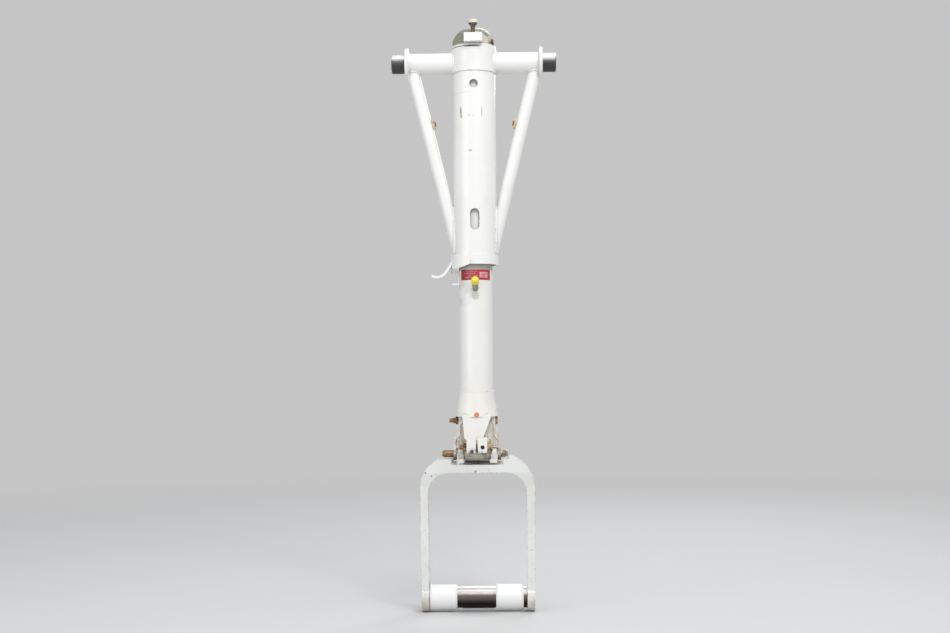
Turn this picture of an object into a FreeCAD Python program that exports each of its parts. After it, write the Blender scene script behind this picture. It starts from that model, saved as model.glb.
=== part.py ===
"""Nose landing gear leg: a trunnion housing, a steerable spindle inside it and a swinging wheel fork.

Millimetres. The origin is the point where the trunnion axis crosses the axis of the leg.
+Z runs up the leg, +X along the trunnions and -Y to the front of the leg.
"""
import FreeCAD, Part
import math
import os

from FreeCAD import Vector

# ---------------------------------------------------------------- fits and clearances
RUNNING_FIT = 0.05        # radial clearance of a shaft that turns or slides in its bore
SIDE_PLAY = 0.1           # axial clearance between faces that turn on each other

# ---------------------------------------------------------------- spindle and housing tubes
SPINDLE_D = 50.8
SPINDLE_WALL = 3.2
BUSH_WALL = 4.65
HOUSING_WALL = 2.4
HOUSING_ABOVE = 21.2      # housing above the trunnion axis
HOUSING_BELOW = 308.5     # housing below the trunnion axis
SLEEVE_WALL = 1.5         # reinforcing sleeve round the cross tubes
SLEEVE_LAP = 0.6          # sleeve below the cross tubes
RING_WALL = 2.8           # bearing ring at the foot of the housing
RING_HEIGHT = 15.0
UPPER_BUSH_LENGTH = 30.0
LOWER_BUSH_LENGTH = 35.0
THRUST_COLLAR_HEIGHT = 4.0
SEAL_HEIGHT = 2.0
ACCESS_HOLE_D = 13.0      # round hole in the front of the housing
ACCESS_HOLE_DROP = 36.7
SLOT_WIDTH = 14.0         # upright slot lower down the front
SLOT_LENGTH = 32.0
SLOT_DROP = 241.0         # slot centre below the trunnion axis

# ---------------------------------------------------------------- cross tubes, trunnions and braces
CROSS_TUBE_D = 31.75
FLANGE_D = 48.0
FLANGE_THICK = 5.0
FLANGE_X = 99.5           # inner face of each flange
FLANGE_CHAMFER = 0.8
TRUNNION_D = 28.6
TRUNNION_BORE = 19.0
TRUNNION_SHOULDER = 0.8   # free end stands this much proud of the end held in the cross tube
TRUNNION_REACH = 20.5     # free length outside the flange
TRUNNION_INSERT = 38.0    # length held in the cross tube
TRUNNION_CHAMFER = 1.5
BRACE_D = 19.05
BRACE_WALL = 1.65
BRACE_INSET = 3.3         # brace axis inboard of the flange, at the trunnion axis
BRACE_BURY = 8.1          # brace axis inside the housing wall, at the top of the ring
BRACE_LUG_DROP = 95.5     # small lugs on the inner sides of the braces
BRACE_LUG_LENGTH = 20.0
BRACE_LUG_PROUD = 3.6
BRACE_LUG_THICK = 9.0
LUG_SCREW_D = 4.0
LUG_SCREW_FLATS = 6.4
LUG_SCREW_HEAD = 1.8

# ---------------------------------------------------------------- link arm on the housing's left foot
ARM_THICK = 4.0
ARM_WIDTH = 20.0
ARM_WRAP = 1.6            # thickness of the strap round the ring
ARM_RISE = 16.0           # strap above the foot of the housing
ARM_HANG = 6.5            # strap below the foot of the housing, at its left edge
ARM_FRONT_SHARE = 0.2     # front end of the strap from the leg's axis, as a share of the ring
ARM_REACH = 29.5          # tip of the tongue from the strap
ARM_DROP = 17.5           # tip of the tongue below the foot of the housing
ARM_HOLE_D = 6.4
ARM_HOLE_EDGE = 8.0       # hole centre from the tip

# ---------------------------------------------------------------- steering collar at the top
THRUST_WASHER_LIP = 0.9   # washer beyond the housing
THRUST_WASHER_THICK = 3.1
COLLAR_FLATS = 55.0
COLLAR_HEIGHT = 28.3
COLLAR_EYE_D = 22.0       # opening in the domed crown
COLLAR_TURN = 13.0        # degrees the hexagon is turned from square-on
COLLAR_CROWN = 10.5       # crown above the end of the spindle tube
PLUG_THICK = 6.0
LUG_WIDTH = 27.5
LUG_HEIGHT = 12.8
LUG_REACH = 44.0          # front of the lug from the leg's axis
LUG_LIFT = 0.7            # lug above the collar's underside
STEERING_BOLT_Y = 38.0
STEERING_BOLT_D = 6.35
STEERING_BOLT_DEPTH = 11.0
STEERING_BOLT_STAND = 13.4  # shank that shows between lug and head
STEERING_NECK_D = 9.2       # shank where it swells into the head
STEERING_NECK_HEIGHT = 6.0
STEERING_HEAD_D = 14.2
STEERING_HEAD_HEIGHT = 7.0
COLLAR_BOLT_D = 6.35
COLLAR_BOLT_FLATS = 9.5
COLLAR_BOLT_LIFT = 6.0    # bolt axis above the collar's underside
COLLAR_SPOT_DEPTH = 0.7   # spot faces for the bolt's head and nut, below the flats
COLLAR_SPOT_D = 13.0

# ---------------------------------------------------------------- fittings below the housing
PLACARD_GAP = 8.0         # placard below the housing
PLACARD_HEIGHT = 15.3
PLACARD_WIDTH = 43.2
PLACARD_THICK = 0.4
PLACARD_GLUE = 0.05       # thickness of the adhesive film
CLEVIS_GAP = 8.5          # top tab of the side clevis below the housing
CLEVIS_HEIGHT = 21.6
CLEVIS_WIDTH = 16.0
CLEVIS_THICK = 3.0
CLEVIS_WEB = 2.0
CLEVIS_REACH = 37.3       # tip of the tabs from the leg's axis
CLEVIS_HOLE_D = 5.2
CLEVIS_HOLE_X = 31.5
FITTING_DROP = 35.5       # root of the grease fitting below the housing
FITTING_TILT = 32.7       # degrees above level
FITTING_D = 9.0
FITTING_NECK = 6.0        # thick part outside the spindle
FITTING_STEM_D = 6.4
FITTING_LENGTH = 18.5
CAP_D = 11.6
CAP_LENGTH = 10.0
CAP_GRIP = 5.0            # length of stem inside the cap

# ---------------------------------------------------------------- spindle foot
FOOT_BELOW = 190.5        # top of the foot below the housing
FOOT_LIP = 0.8            # step where the foot starts
FOOT_CONE = 37.5          # height of the cone
FOOT_FLARE = 6.0          # growth of the cone's radius beyond the spindle
FOOT_FLOOR = 4.5
PIVOT_BELOW_FOOT = 93.4   # pivot axis below the top of the foot
WEB_TOP_WIDTH = 42.8      # front web, just under the cone
WEB_WAIST = 31.0          # front web where it meets the clamp
WEB_FRONT = 29.5          # front face from the leg's axis
WEB_BACK = 8.0
CORE_GAP = 0.2            # solid core behind the web, this far inside the side plates
CORE_DEPTH = 17.0
CORE_RISE = 11.5          # bottom of the core above the pivot axis
WEB_STEP = 4.0            # left edge of the web steps in this far below the clamp's top
WEB_TONGUE = 0.65         # web between the jaws, as a share of its waist
CLAMP_WIDTH = 31.0
CLAMP_RISE = 25.6         # top of the clamp above the pivot axis
CLAMP_SOLE = 2.0          # bottom of the clamp above the pivot axis
CLAMP_FRONT = 31.5
CLAMP_BACK = 8.0
CLAMP_SLIT = 4.0
CLAMP_SLIT_RISE = 21.5    # top of the slit above the pivot axis
CLAMP_BOLT_D = 6.35
CLAMP_BOLT_FLATS = 10.5
CLAMP_BOLT_Y = 22.0
CLAMP_BOLT_RISE = 10.4
CLAMP_HEAD_HEIGHT = 8.0
CLAMP_NUT_HEIGHT = 7.6
CLAMP_BOLT_TAIL = 2.8     # thread outside the nut
CLAMP_PORT_D = 5.4        # small front hole in the right jaw
CLAMP_PORT_X = 8.6
CLAMP_PORT_DEPTH = 4.0
NIPPLE_X = 7.3            # grease nipple on the left jaw
NIPPLE_D = 5.0
NIPPLE_RISE = 2.7
NIPPLE_PROUD = 4.0
FOOT_BOLT_D = 6.35
FOOT_BOLT_FLATS = 10.0
FOOT_BOLT_GAP = 0.2       # bolt head below the cone
FOOT_HEAD_HEIGHT = 3.5
FOOT_NUT_HEIGHT = 8.0
FOOT_BOLT_TAIL = 6.0      # thread outside the nut
PLUG_D = 6.6              # plug in the front of the cone
PLUG_RISE = 3.0           # plug centre above the cone's foot
PLUG_PROUD = 0.6

# ---------------------------------------------------------------- side plates and pivot
PLATE_TOP_X = 21.6        # inner face of the plate at its top
PLATE_MID_X = 24.5
PLATE_THICK = 6.0
PLATE_EYE_THICK = 4.0
PLATE_WIDTH = 18.0
PLATE_EYE_RISE = 22.0     # start of the eye above the pivot axis
PLATE_JOG = 8.0           # height of the step outwards
PLATE_EYE_R = 9.8
BARREL_D = 28.0
BARREL_LENGTH = 37.0
PIN_D = 11.11
PIN_LEFT = 53.0
PIN_RIGHT = 46.0
PIN_TAPER = 4.5
PIN_NOSE_D = 7.0
INNER_WASHER_THICK = 1.4
OUTER_WASHER_THICK = 0.9
WASHER_D = 17.5
EAR_THICK = 10.6
EAR_R = 9.2
EAR_ROUND = 2.0           # bevel round the ears
FORK_BUSH_WALL = 1.5

# ---------------------------------------------------------------- wheel fork and axle
AXLE_BELOW_PIVOT = 214.7
FORK_INNER_WIDTH = 148.0
FORK_LEAN = 1.0           # each leg leans in by this at the axle
FORK_LEG = 12.0
FORK_FOOT_LEG = 11.3
FORK_TOP_RISE = -2.4      # top of the shoulders from the pivot axis
FORK_CROWN = 25.5         # thickness of the crossbar at its shoulders
FORK_OUTER_CORNER = 48.0
FORK_INNER_CORNER = 32.0
FORK_DEPTH = 44.0         # front to back at the crossbar
FORK_LEG_DEPTH = 34.0
FORK_NECK_DROP = 46.0     # leg reaches its own depth this far below the crossbar's top
FORK_FOOT_R = 20.7
FORK_SADDLE_GAP = 0.8     # crossbar below the barrel
FORK_RELIEF_DROP = 7.0    # flat beside the ears, below the pivot axis
FORK_RELIEF_LEFT = 56.0
FORK_RELIEF_RIGHT = 47.5
FORK_GROOVE_GAP = 2.8     # grooves clear the plates' eyes by this
SHOCK_LUG_Y = 34.0        # rear lug for the foot of the shock pack
SHOCK_LUG_R = 9.5
SHOCK_LUG_WIDTH = 16.0
SHOCK_HOLE_D = 9.6
SHOCK_RISE = 172.4        # upper shock bracket above the pivot axis
SHOCK_BRACKET_Y = 38.0
SHOCK_BRACKET_GAP = 17.0
SHOCK_BRACKET_THICK = 4.0
SHOCK_BRACKET_HEIGHT = 34.0
SHOCK_BRACKET_R = 10.0
AXLE_D = 31.75
AXLE_WALL = 4.5
AXLE_PLUG_LENGTH = 8.0
LOCK_PIN_D = 5.0
SLEEVE_TUBE_D = 33.2      # centre sleeve on the axle
SLEEVE_LEFT_ROOM = 7.6     # play between the left spacer and the centre sleeve
SLEEVE_RIGHT_ROOM = 2.4
SPACER_D = 38.1
SPACER_FLANGE_D = 40.4
SPACER_FLANGE = 3.0
SPACER_LENGTH = 41.0
SPACER_CHAMFER = 1.6
SPACER_LEFT_GAP = 0.4     # left spacer stands against the left leg
SPACER_RIGHT_GAP = 5.6    # right spacer stands off the right leg

# ---------------------------------------------------------------- places worked out from the sizes
ORIGIN = Vector(0, 0, 0)
UP = Vector(0, 0, 1)
ALONG_X = Vector(1, 0, 0)
TO_FRONT = Vector(0, -1, 0)

spindle_r = SPINDLE_D / 2
spindle_bore_r = spindle_r - SPINDLE_WALL
housing_bore_r = spindle_r + RUNNING_FIT + BUSH_WALL
housing_r = housing_bore_r + HOUSING_WALL
ring_r = housing_r + RING_WALL
cross_r = CROSS_TUBE_D / 2
housing_foot_z = -HOUSING_BELOW
ring_top_z = housing_foot_z + RING_HEIGHT
thrust_washer_z = HOUSING_ABOVE + SIDE_PLAY
collar_z = thrust_washer_z + THRUST_WASHER_THICK
collar_top_z = collar_z + COLLAR_HEIGHT
spindle_top_z = collar_top_z - COLLAR_CROWN
collar_bolt_z = collar_z + COLLAR_BOLT_LIFT
collar_spot_x = COLLAR_FLATS / 2 - COLLAR_SPOT_DEPTH
lug_z = collar_z + LUG_LIFT
lug_top_z = lug_z + LUG_HEIGHT
thrust_collar_z = housing_foot_z + SEAL_HEIGHT + SIDE_PLAY
lower_bush_z = thrust_collar_z + THRUST_COLLAR_HEIGHT + SIDE_PLAY
foot_z = housing_foot_z - FOOT_BELOW
cone_z = foot_z - FOOT_CONE
cone_r = spindle_r + FOOT_FLARE
spindle_foot_z = cone_z + FOOT_FLOOR
cut_reach = 3 * housing_r   # reach of cutting shapes, well outside the tubes
foot_bolt_room = FOOT_BOLT_FLATS / math.sqrt(3) + FOOT_BOLT_GAP
foot_bolt_z = cone_z - foot_bolt_room
pivot_z = foot_z - PIVOT_BELOW_FOOT
pin_r = PIN_D / 2
barrel_r = BARREL_D / 2
barrel_half = BARREL_LENGTH / 2
ear_inner_x = barrel_half + INNER_WASHER_THICK + SIDE_PLAY
ear_outer_x = ear_inner_x + EAR_THICK
eye_inner_x = ear_outer_x + SIDE_PLAY + OUTER_WASHER_THICK
eye_outer_x = eye_inner_x + PLATE_EYE_THICK
axle_z = pivot_z - AXLE_BELOW_PIVOT
axle_r = AXLE_D / 2
fork_top_z = pivot_z + FORK_TOP_RISE
leg_outer_x = FORK_INNER_WIDTH / 2 + FORK_LEG
foot_inner_x = FORK_INNER_WIDTH / 2 - FORK_LEAN
foot_outer_x = foot_inner_x + FORK_FOOT_LEG
shock_z = pivot_z + SHOCK_RISE
shock_lug_z = pivot_z - barrel_r - FORK_SADDLE_GAP


# ---------------------------------------------------------------- shape helpers
def rod(radius, start, end):
    """Plain cylinder between two points."""
    along = end - start
    return Part.makeCylinder(radius, along.Length, start, along)


def pipe(outer, inner, start, end):
    """Plain tube between two points."""
    return rod(outer, start, end).cut(rod(inner, start, end))


def aim(shape, at, along):
    """Move a shape drawn up the Z axis so that it starts at a point and runs along a direction."""
    shape.Placement = FreeCAD.Placement(at, FreeCAD.Rotation(UP, along))
    return shape


def turned(outline, at=ORIGIN, along=UP):
    """Solid of revolution from (radius, height) corners."""
    corners = [Vector(radius, 0, height) for radius, height in outline]
    face = Part.Face(Part.makePolygon(corners + corners[:1]))
    return aim(face.revolve(ORIGIN, UP, 360), at, along)


def plate_xz(corners, y_from, y_to):
    """Prism from (x, z) corners, thick in Y."""
    points = [Vector(x, y_from, z) for x, z in corners]
    return Part.Face(Part.makePolygon(points + points[:1])).extrude(Vector(0, y_to - y_from, 0))


def plate_yz(corners, x_from, x_to):
    """Prism from (y, z) corners, thick in X."""
    points = [Vector(x_from, y, z) for y, z in corners]
    return Part.Face(Part.makePolygon(points + points[:1])).extrude(Vector(x_to - x_from, 0, 0))


def block(low, high):
    """Box between two opposite corners."""
    size = high - low
    return Part.makeBox(size.x, size.y, size.z, low)


def hexagon(flats, height, at, along, chamfer=0.0):
    """Six-sided prism, its outer end chamfered like a bolt head."""
    corner = flats / math.sqrt(3)
    points = []
    for step in range(6):
        turn = math.radians(60 * step)
        points.append(Vector(corner * math.cos(turn), corner * math.sin(turn), 0))
    prism = Part.Face(Part.makePolygon(points + points[:1])).extrude(Vector(0, 0, height))
    if chamfer > 0:
        low_r = corner + chamfer
        crown = [(0, 0), (low_r, 0), (low_r, height - chamfer * 2)]
        crown += [(flats / 2 - chamfer / 4, height), (0, height)]
        prism = prism.common(turned(crown))
    return aim(prism, at, along)


def bent_strip(middle_line, half, y_from, y_to):
    """Strip of even thickness that follows a smooth line through (x, z) points."""
    sides = []
    for sign in (-1, 1):
        side = []
        for index, (x, z) in enumerate(middle_line):
            before = middle_line[max(index - 1, 0)]
            after = middle_line[min(index + 1, len(middle_line) - 1)]
            run = math.hypot(after[0] - before[0], after[1] - before[1])
            across_x = -(after[1] - before[1]) / run
            across_z = (after[0] - before[0]) / run
            side.append(Vector(x + across_x * half * sign, y_from, z + across_z * half * sign))
        sides.append(side)
    edges = []
    for side in sides:
        curve = Part.BSplineCurve()
        curve.interpolate(side)
        edges.append(curve.toShape())
    edges.append(Part.makeLine(sides[0][0], sides[1][0]))
    edges.append(Part.makeLine(sides[0][-1], sides[1][-1]))
    face = Part.Face(Part.Wire(Part.__sortEdges__(edges)))
    return face.extrude(Vector(0, y_to - y_from, 0))


def turn_about_z(shape, degrees):
    """Copy of a shape turned about the Z axis."""
    copy = shape.copy()
    copy.rotate(ORIGIN, UP, degrees)
    return copy


def mirrored(shape):
    """The same shape on the other side of the leg's middle plane."""
    return shape.mirror(ORIGIN, ALONG_X)


def castle_nut(flats, height, bore_r, at, along):
    """Hexagon nut with a slotted round crown."""
    body_height = height * 0.62
    crown = turned([(0, 0), (flats * 0.45, 0), (flats * 0.42, height), (0, height)])
    nut = hexagon(flats, body_height, ORIGIN, UP, flats * 0.05).fuse(crown)
    slot = block(Vector(-flats, -flats * 0.09, body_height), Vector(flats, flats * 0.09, height + 1))
    for step in range(3):
        nut = nut.cut(turn_about_z(slot, 60 * step))
    bore = rod(bore_r, ORIGIN, Vector(0, 0, height))
    return aim(nut.cut(bore), at, along)


parts = {}


# ---------------------------------------------------------------- housing
def make_housing():
    """Outer tube with its sleeve, bearing ring, bushes and seal."""
    top = Vector(0, 0, HOUSING_ABOVE)
    foot = Vector(0, 0, housing_foot_z)
    tube = pipe(housing_r, housing_bore_r, foot, top)
    front = TO_FRONT * cut_reach
    hole_at = Vector(0, 0, -ACCESS_HOLE_DROP)
    tube = tube.cut(rod(ACCESS_HOLE_D / 2, hole_at, hole_at + front))
    end_rise = (SLOT_LENGTH - SLOT_WIDTH) / 2
    for rise in (-end_rise, end_rise):
        end_at = Vector(0, 0, -SLOT_DROP + rise)
        tube = tube.cut(rod(SLOT_WIDTH / 2, end_at, end_at + front))
    half = SLOT_WIDTH / 2
    slot_low = Vector(-half, -cut_reach, -SLOT_DROP - end_rise)
    tube = tube.cut(block(slot_low, Vector(half, 0, -SLOT_DROP + end_rise)))
    parts["outer_tube"] = tube

    sleeve_foot = Vector(0, 0, -cross_r - SLEEVE_LAP)
    parts["upper_sleeve"] = pipe(housing_r + SLEEVE_WALL, housing_r, sleeve_foot, top)
    ring_top = Vector(0, 0, ring_top_z)
    parts["bearing_ring"] = pipe(ring_r, housing_r, foot, ring_top)

    bush_bore_r = spindle_r + RUNNING_FIT
    upper_bush_foot = Vector(0, 0, HOUSING_ABOVE - UPPER_BUSH_LENGTH)
    parts["upper_bush"] = pipe(housing_bore_r, bush_bore_r, upper_bush_foot, top)
    lower_bush_foot = Vector(0, 0, lower_bush_z)
    lower_bush_top = Vector(0, 0, lower_bush_z + LOWER_BUSH_LENGTH)
    parts["lower_bush"] = pipe(housing_bore_r, bush_bore_r, lower_bush_foot, lower_bush_top)
    seal_top = Vector(0, 0, housing_foot_z + SEAL_HEIGHT)
    parts["dust_seal"] = pipe(housing_bore_r, spindle_r + RUNNING_FIT * 2, foot, seal_top)


def make_trunnion_side():
    """Cross tube, flange and trunnion of the right-hand side."""
    inner = ORIGIN
    flange_inner = Vector(FLANGE_X, 0, 0)
    trunnion_r = TRUNNION_D / 2
    insert_r = trunnion_r - TRUNNION_SHOULDER
    tube = pipe(cross_r, insert_r, inner, flange_inner)
    sleeve = rod(housing_r + SLEEVE_WALL, Vector(0, 0, -cut_reach), Vector(0, 0, cut_reach))
    tube = tube.cut(sleeve)

    rim = FLANGE_D / 2
    c = FLANGE_CHAMFER
    outline = [(insert_r, 0), (rim - c, 0), (rim, c), (rim, FLANGE_THICK - c)]
    outline += [(rim - c, FLANGE_THICK), (insert_r, FLANGE_THICK)]
    flange = turned(outline, flange_inner, ALONG_X)

    start = FLANGE_X - TRUNNION_INSERT
    held = TRUNNION_INSERT + FLANGE_THICK
    length = held + TRUNNION_REACH
    c = TRUNNION_CHAMFER
    bore_r = TRUNNION_BORE / 2
    outline = [(bore_r, 0), (insert_r, 0), (insert_r, held), (trunnion_r, held)]
    outline += [(trunnion_r, length - c), (trunnion_r - c, length), (bore_r, length)]
    pin = turned(outline, Vector(start, 0, 0), ALONG_X)
    return tube, flange, pin


def make_brace():
    """Right-hand brace tube with the lug and screw on its inner side."""
    top_x = FLANGE_X - BRACE_INSET
    foot_x = housing_r - BRACE_BURY
    slope = (top_x - foot_x) / -ring_top_z
    top = Vector(top_x, 0, 0)
    below_ring = RING_HEIGHT * 2
    foot = Vector(foot_x - slope * below_ring, 0, ring_top_z - below_ring)
    brace = pipe(BRACE_D / 2, BRACE_D / 2 - BRACE_WALL, foot, top)
    brace = brace.cut(rod(cross_r, ORIGIN, Vector(FLANGE_X * 2, 0, 0)))
    brace = brace.cut(rod(FLANGE_D / 2, Vector(FLANGE_X, 0, 0), Vector(FLANGE_X * 2, 0, 0)))
    brace = brace.cut(rod(housing_r, Vector(0, 0, -HOUSING_BELOW * 2), Vector(0, 0, HOUSING_BELOW)))
    below = Vector(-cut_reach, -cut_reach, -HOUSING_BELOW * 2)
    brace = brace.cut(block(below, Vector(cut_reach, cut_reach, ring_top_z)))

    along = (top - foot).normalize()
    inward = Vector(-along.z, 0, along.x)
    centre = top - along * (BRACE_LUG_DROP / along.z)
    half_long = BRACE_LUG_LENGTH / 2
    half_thick = BRACE_LUG_THICK / 2
    reach = BRACE_D / 2 + BRACE_LUG_PROUD
    corners = []
    half_face = half_long * 0.7
    corners_at = ((-half_long, 0), (-half_face, reach), (half_face, reach), (half_long, 0))
    for lengthwise, outward in corners_at:
        corners.append(centre + along * lengthwise + inward * outward)
    lug = plate_xz([(corner.x, corner.z) for corner in corners], -half_thick, half_thick)
    lug = lug.cut(rod(BRACE_D / 2, foot, top))
    screw_root = centre + inward * (BRACE_D / 2)
    seat = screw_root + inward * BRACE_LUG_PROUD
    shank = rod(LUG_SCREW_D / 2, screw_root, seat)
    head = hexagon(LUG_SCREW_FLATS, LUG_SCREW_HEAD, seat, inward, LUG_SCREW_FLATS * 0.06)
    return brace, lug.cut(shank), shank.fuse(head)


def make_cross_frame():
    """Everything outboard of the housing, on both sides."""
    tube, flange, pin = make_trunnion_side()
    brace, lug, screw = make_brace()
    sides = {"cross_tube": tube, "trunnion_flange": flange, "trunnion_pin": pin, "brace": brace}
    for name, shape in sides.items():
        parts[name + "_right"] = shape
        parts[name + "_left"] = mirrored(shape)
    parts["brace_lugs"] = Part.makeCompound([lug, mirrored(lug)])
    parts["lug_screws"] = Part.makeCompound([screw, mirrored(screw)])


def make_link_arm():
    """Strap wrapped round the left of the bearing ring, bent outwards into a level tongue."""
    wrap_r = ring_r + ARM_WRAP
    top = housing_foot_z + ARM_RISE
    hang = housing_foot_z - ARM_HANG
    wrap = pipe(wrap_r, ring_r, Vector(0, 0, hang), Vector(0, 0, top))
    front_x = -ring_r * ARM_FRONT_SHARE
    outline = [(-cut_reach, top), (front_x * 3, top), (front_x, housing_foot_z + ARM_RISE / 3)]
    outline += [(front_x, housing_foot_z), (-ring_r * 0.8, hang), (-cut_reach, hang)]
    wrap = wrap.common(plate_xz(outline, -cut_reach, ARM_WIDTH / 2))

    half = ARM_THICK / 2
    tip_x = -wrap_r - ARM_REACH
    tip_z = housing_foot_z - ARM_DROP
    middle_line = [(-wrap_r + half, top), (-wrap_r + half * 0.6, housing_foot_z + ARM_THICK)]
    middle_line += [(-wrap_r - ARM_REACH * 0.12, housing_foot_z - ARM_DROP * 0.24)]
    middle_line += [(-wrap_r - ARM_REACH * 0.34, tip_z + ARM_DROP * 0.26)]
    middle_line += [(-wrap_r - ARM_REACH * 0.60, tip_z + half * 0.1), (tip_x, tip_z + half)]
    arm = bent_strip(middle_line, half, -ARM_WIDTH / 2, ARM_WIDTH / 2)
    arm = arm.cut(rod(ring_r, Vector(0, 0, hang * 2), ORIGIN))
    hole_at = Vector(tip_x + ARM_HOLE_EDGE, 0, tip_z)
    arm = arm.cut(rod(ARM_HOLE_D / 2, hole_at - UP * ARM_THICK * 2, hole_at + UP * ARM_THICK * 2))
    parts["link_arm"] = wrap.fuse(arm).removeSplitter()


# ---------------------------------------------------------------- spindle
def make_spindle():
    """Spindle tube with its plug, thrust washer and lower thrust collar."""
    foot = Vector(0, 0, spindle_foot_z)
    top = Vector(0, 0, spindle_top_z)
    tube = pipe(spindle_r, spindle_bore_r, foot, top)
    root, along = fitting_line()
    tube = tube.cut(rod(FITTING_D / 2, root - along * FITTING_D, root + along * FITTING_D))
    bolt_end = Vector(cut_reach, 0, collar_bolt_z)
    bolt_start = Vector(-cut_reach, 0, collar_bolt_z)
    tube = tube.cut(rod(COLLAR_BOLT_D / 2, bolt_start, bolt_end))
    parts["spindle_tube"] = tube
    parts["spindle_plug"] = rod(spindle_bore_r, top - UP * PLUG_THICK, top)
    washer_at = Vector(0, 0, thrust_washer_z)
    collar_at = Vector(0, 0, collar_z)
    parts["thrust_washer"] = pipe(housing_r + THRUST_WASHER_LIP, spindle_r, washer_at, collar_at)
    low = Vector(0, 0, thrust_collar_z)
    thrust_collar_r = housing_bore_r - RUNNING_FIT * 4
    parts["thrust_collar"] = pipe(thrust_collar_r, spindle_r, low, low + UP * THRUST_COLLAR_HEIGHT)


def make_steering_head():
    """Hexagon steering collar, its front lug and their bolts."""
    at = Vector(0, 0, collar_z)
    corner = COLLAR_FLATS / math.sqrt(3)
    blank = turn_about_z(hexagon(COLLAR_FLATS, COLLAR_HEIGHT, at, UP), COLLAR_TURN)
    crown = [(0, 0), (corner, 0), (corner, COLLAR_HEIGHT - 1.75 * COLLAR_CROWN)]
    for across, drop in ((0.85, 0.9), (0.69, 0.42), (0.52, 0.12)):
        crown.append((corner * across, COLLAR_HEIGHT - COLLAR_CROWN * drop))
    crown += [(COLLAR_EYE_D / 2, COLLAR_HEIGHT), (0, COLLAR_HEIGHT)]
    collar = blank.common(turned(crown, at))
    collar = collar.cut(rod(spindle_r, at, Vector(0, 0, spindle_top_z)))
    collar = collar.cut(rod(COLLAR_EYE_D / 2, at, at + UP * COLLAR_HEIGHT))
    for side in (-1, 1):
        spot = Vector(side * collar_spot_x, 0, collar_bolt_z)
        collar = collar.cut(rod(COLLAR_SPOT_D / 2, spot, spot + ALONG_X * side * COLLAR_SPOT_D))
    bolt_at = Vector(0, 0, collar_bolt_z)
    bolt_hole = rod(COLLAR_BOLT_D / 2, bolt_at - ALONG_X * cut_reach, bolt_at + ALONG_X * cut_reach)
    parts["steering_collar"] = collar.cut(bolt_hole)

    half = LUG_WIDTH / 2
    lug = block(Vector(-half, -LUG_REACH, lug_z), Vector(half, -spindle_r, lug_top_z))
    lug = lug.cut(blank)
    shank_foot = Vector(0, -STEERING_BOLT_Y, lug_top_z - STEERING_BOLT_DEPTH)
    shank_top = Vector(0, -STEERING_BOLT_Y, lug_top_z + STEERING_BOLT_STAND)
    shank = rod(STEERING_BOLT_D / 2, shank_foot, shank_top)
    parts["steering_lug"] = lug.cut(shank)
    head_r = STEERING_HEAD_D / 2
    height = STEERING_HEAD_HEIGHT
    neck_foot = -STEERING_NECK_HEIGHT
    outline = [(0, neck_foot), (STEERING_BOLT_D / 2, neck_foot), (STEERING_NECK_D / 2, 0), (head_r * 0.9, 0)]
    outline += [(head_r, height * 0.2), (head_r, height * 0.7), (head_r * 0.75, height), (0, height)]
    parts["steering_bolt"] = shank.fuse(turned(outline, shank_top))

    head_height = COLLAR_BOLT_D * 0.6
    head_at = Vector(collar_spot_x, 0, collar_bolt_z)
    nut_at = Vector(-collar_spot_x, 0, collar_bolt_z)
    head = hexagon(COLLAR_BOLT_FLATS, head_height, head_at, ALONG_X, COLLAR_BOLT_FLATS * 0.06)
    nut_height = COLLAR_BOLT_D * 0.8
    bolt_end = nut_at - ALONG_X * nut_height
    parts["collar_bolt"] = head.fuse(rod(COLLAR_BOLT_D / 2, head_at, bolt_end))
    nut = hexagon(COLLAR_BOLT_FLATS, nut_height, nut_at, -ALONG_X, COLLAR_BOLT_FLATS * 0.06)
    parts["collar_nut"] = nut.cut(rod(COLLAR_BOLT_D / 2, head_at, bolt_end))


def fitting_line():
    """Root and direction of the grease fitting."""
    tilt = math.radians(FITTING_TILT)
    along = Vector(0, -math.cos(tilt), math.sin(tilt))
    root = Vector(0, -spindle_r, housing_foot_z - FITTING_DROP)
    return root, along


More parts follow.
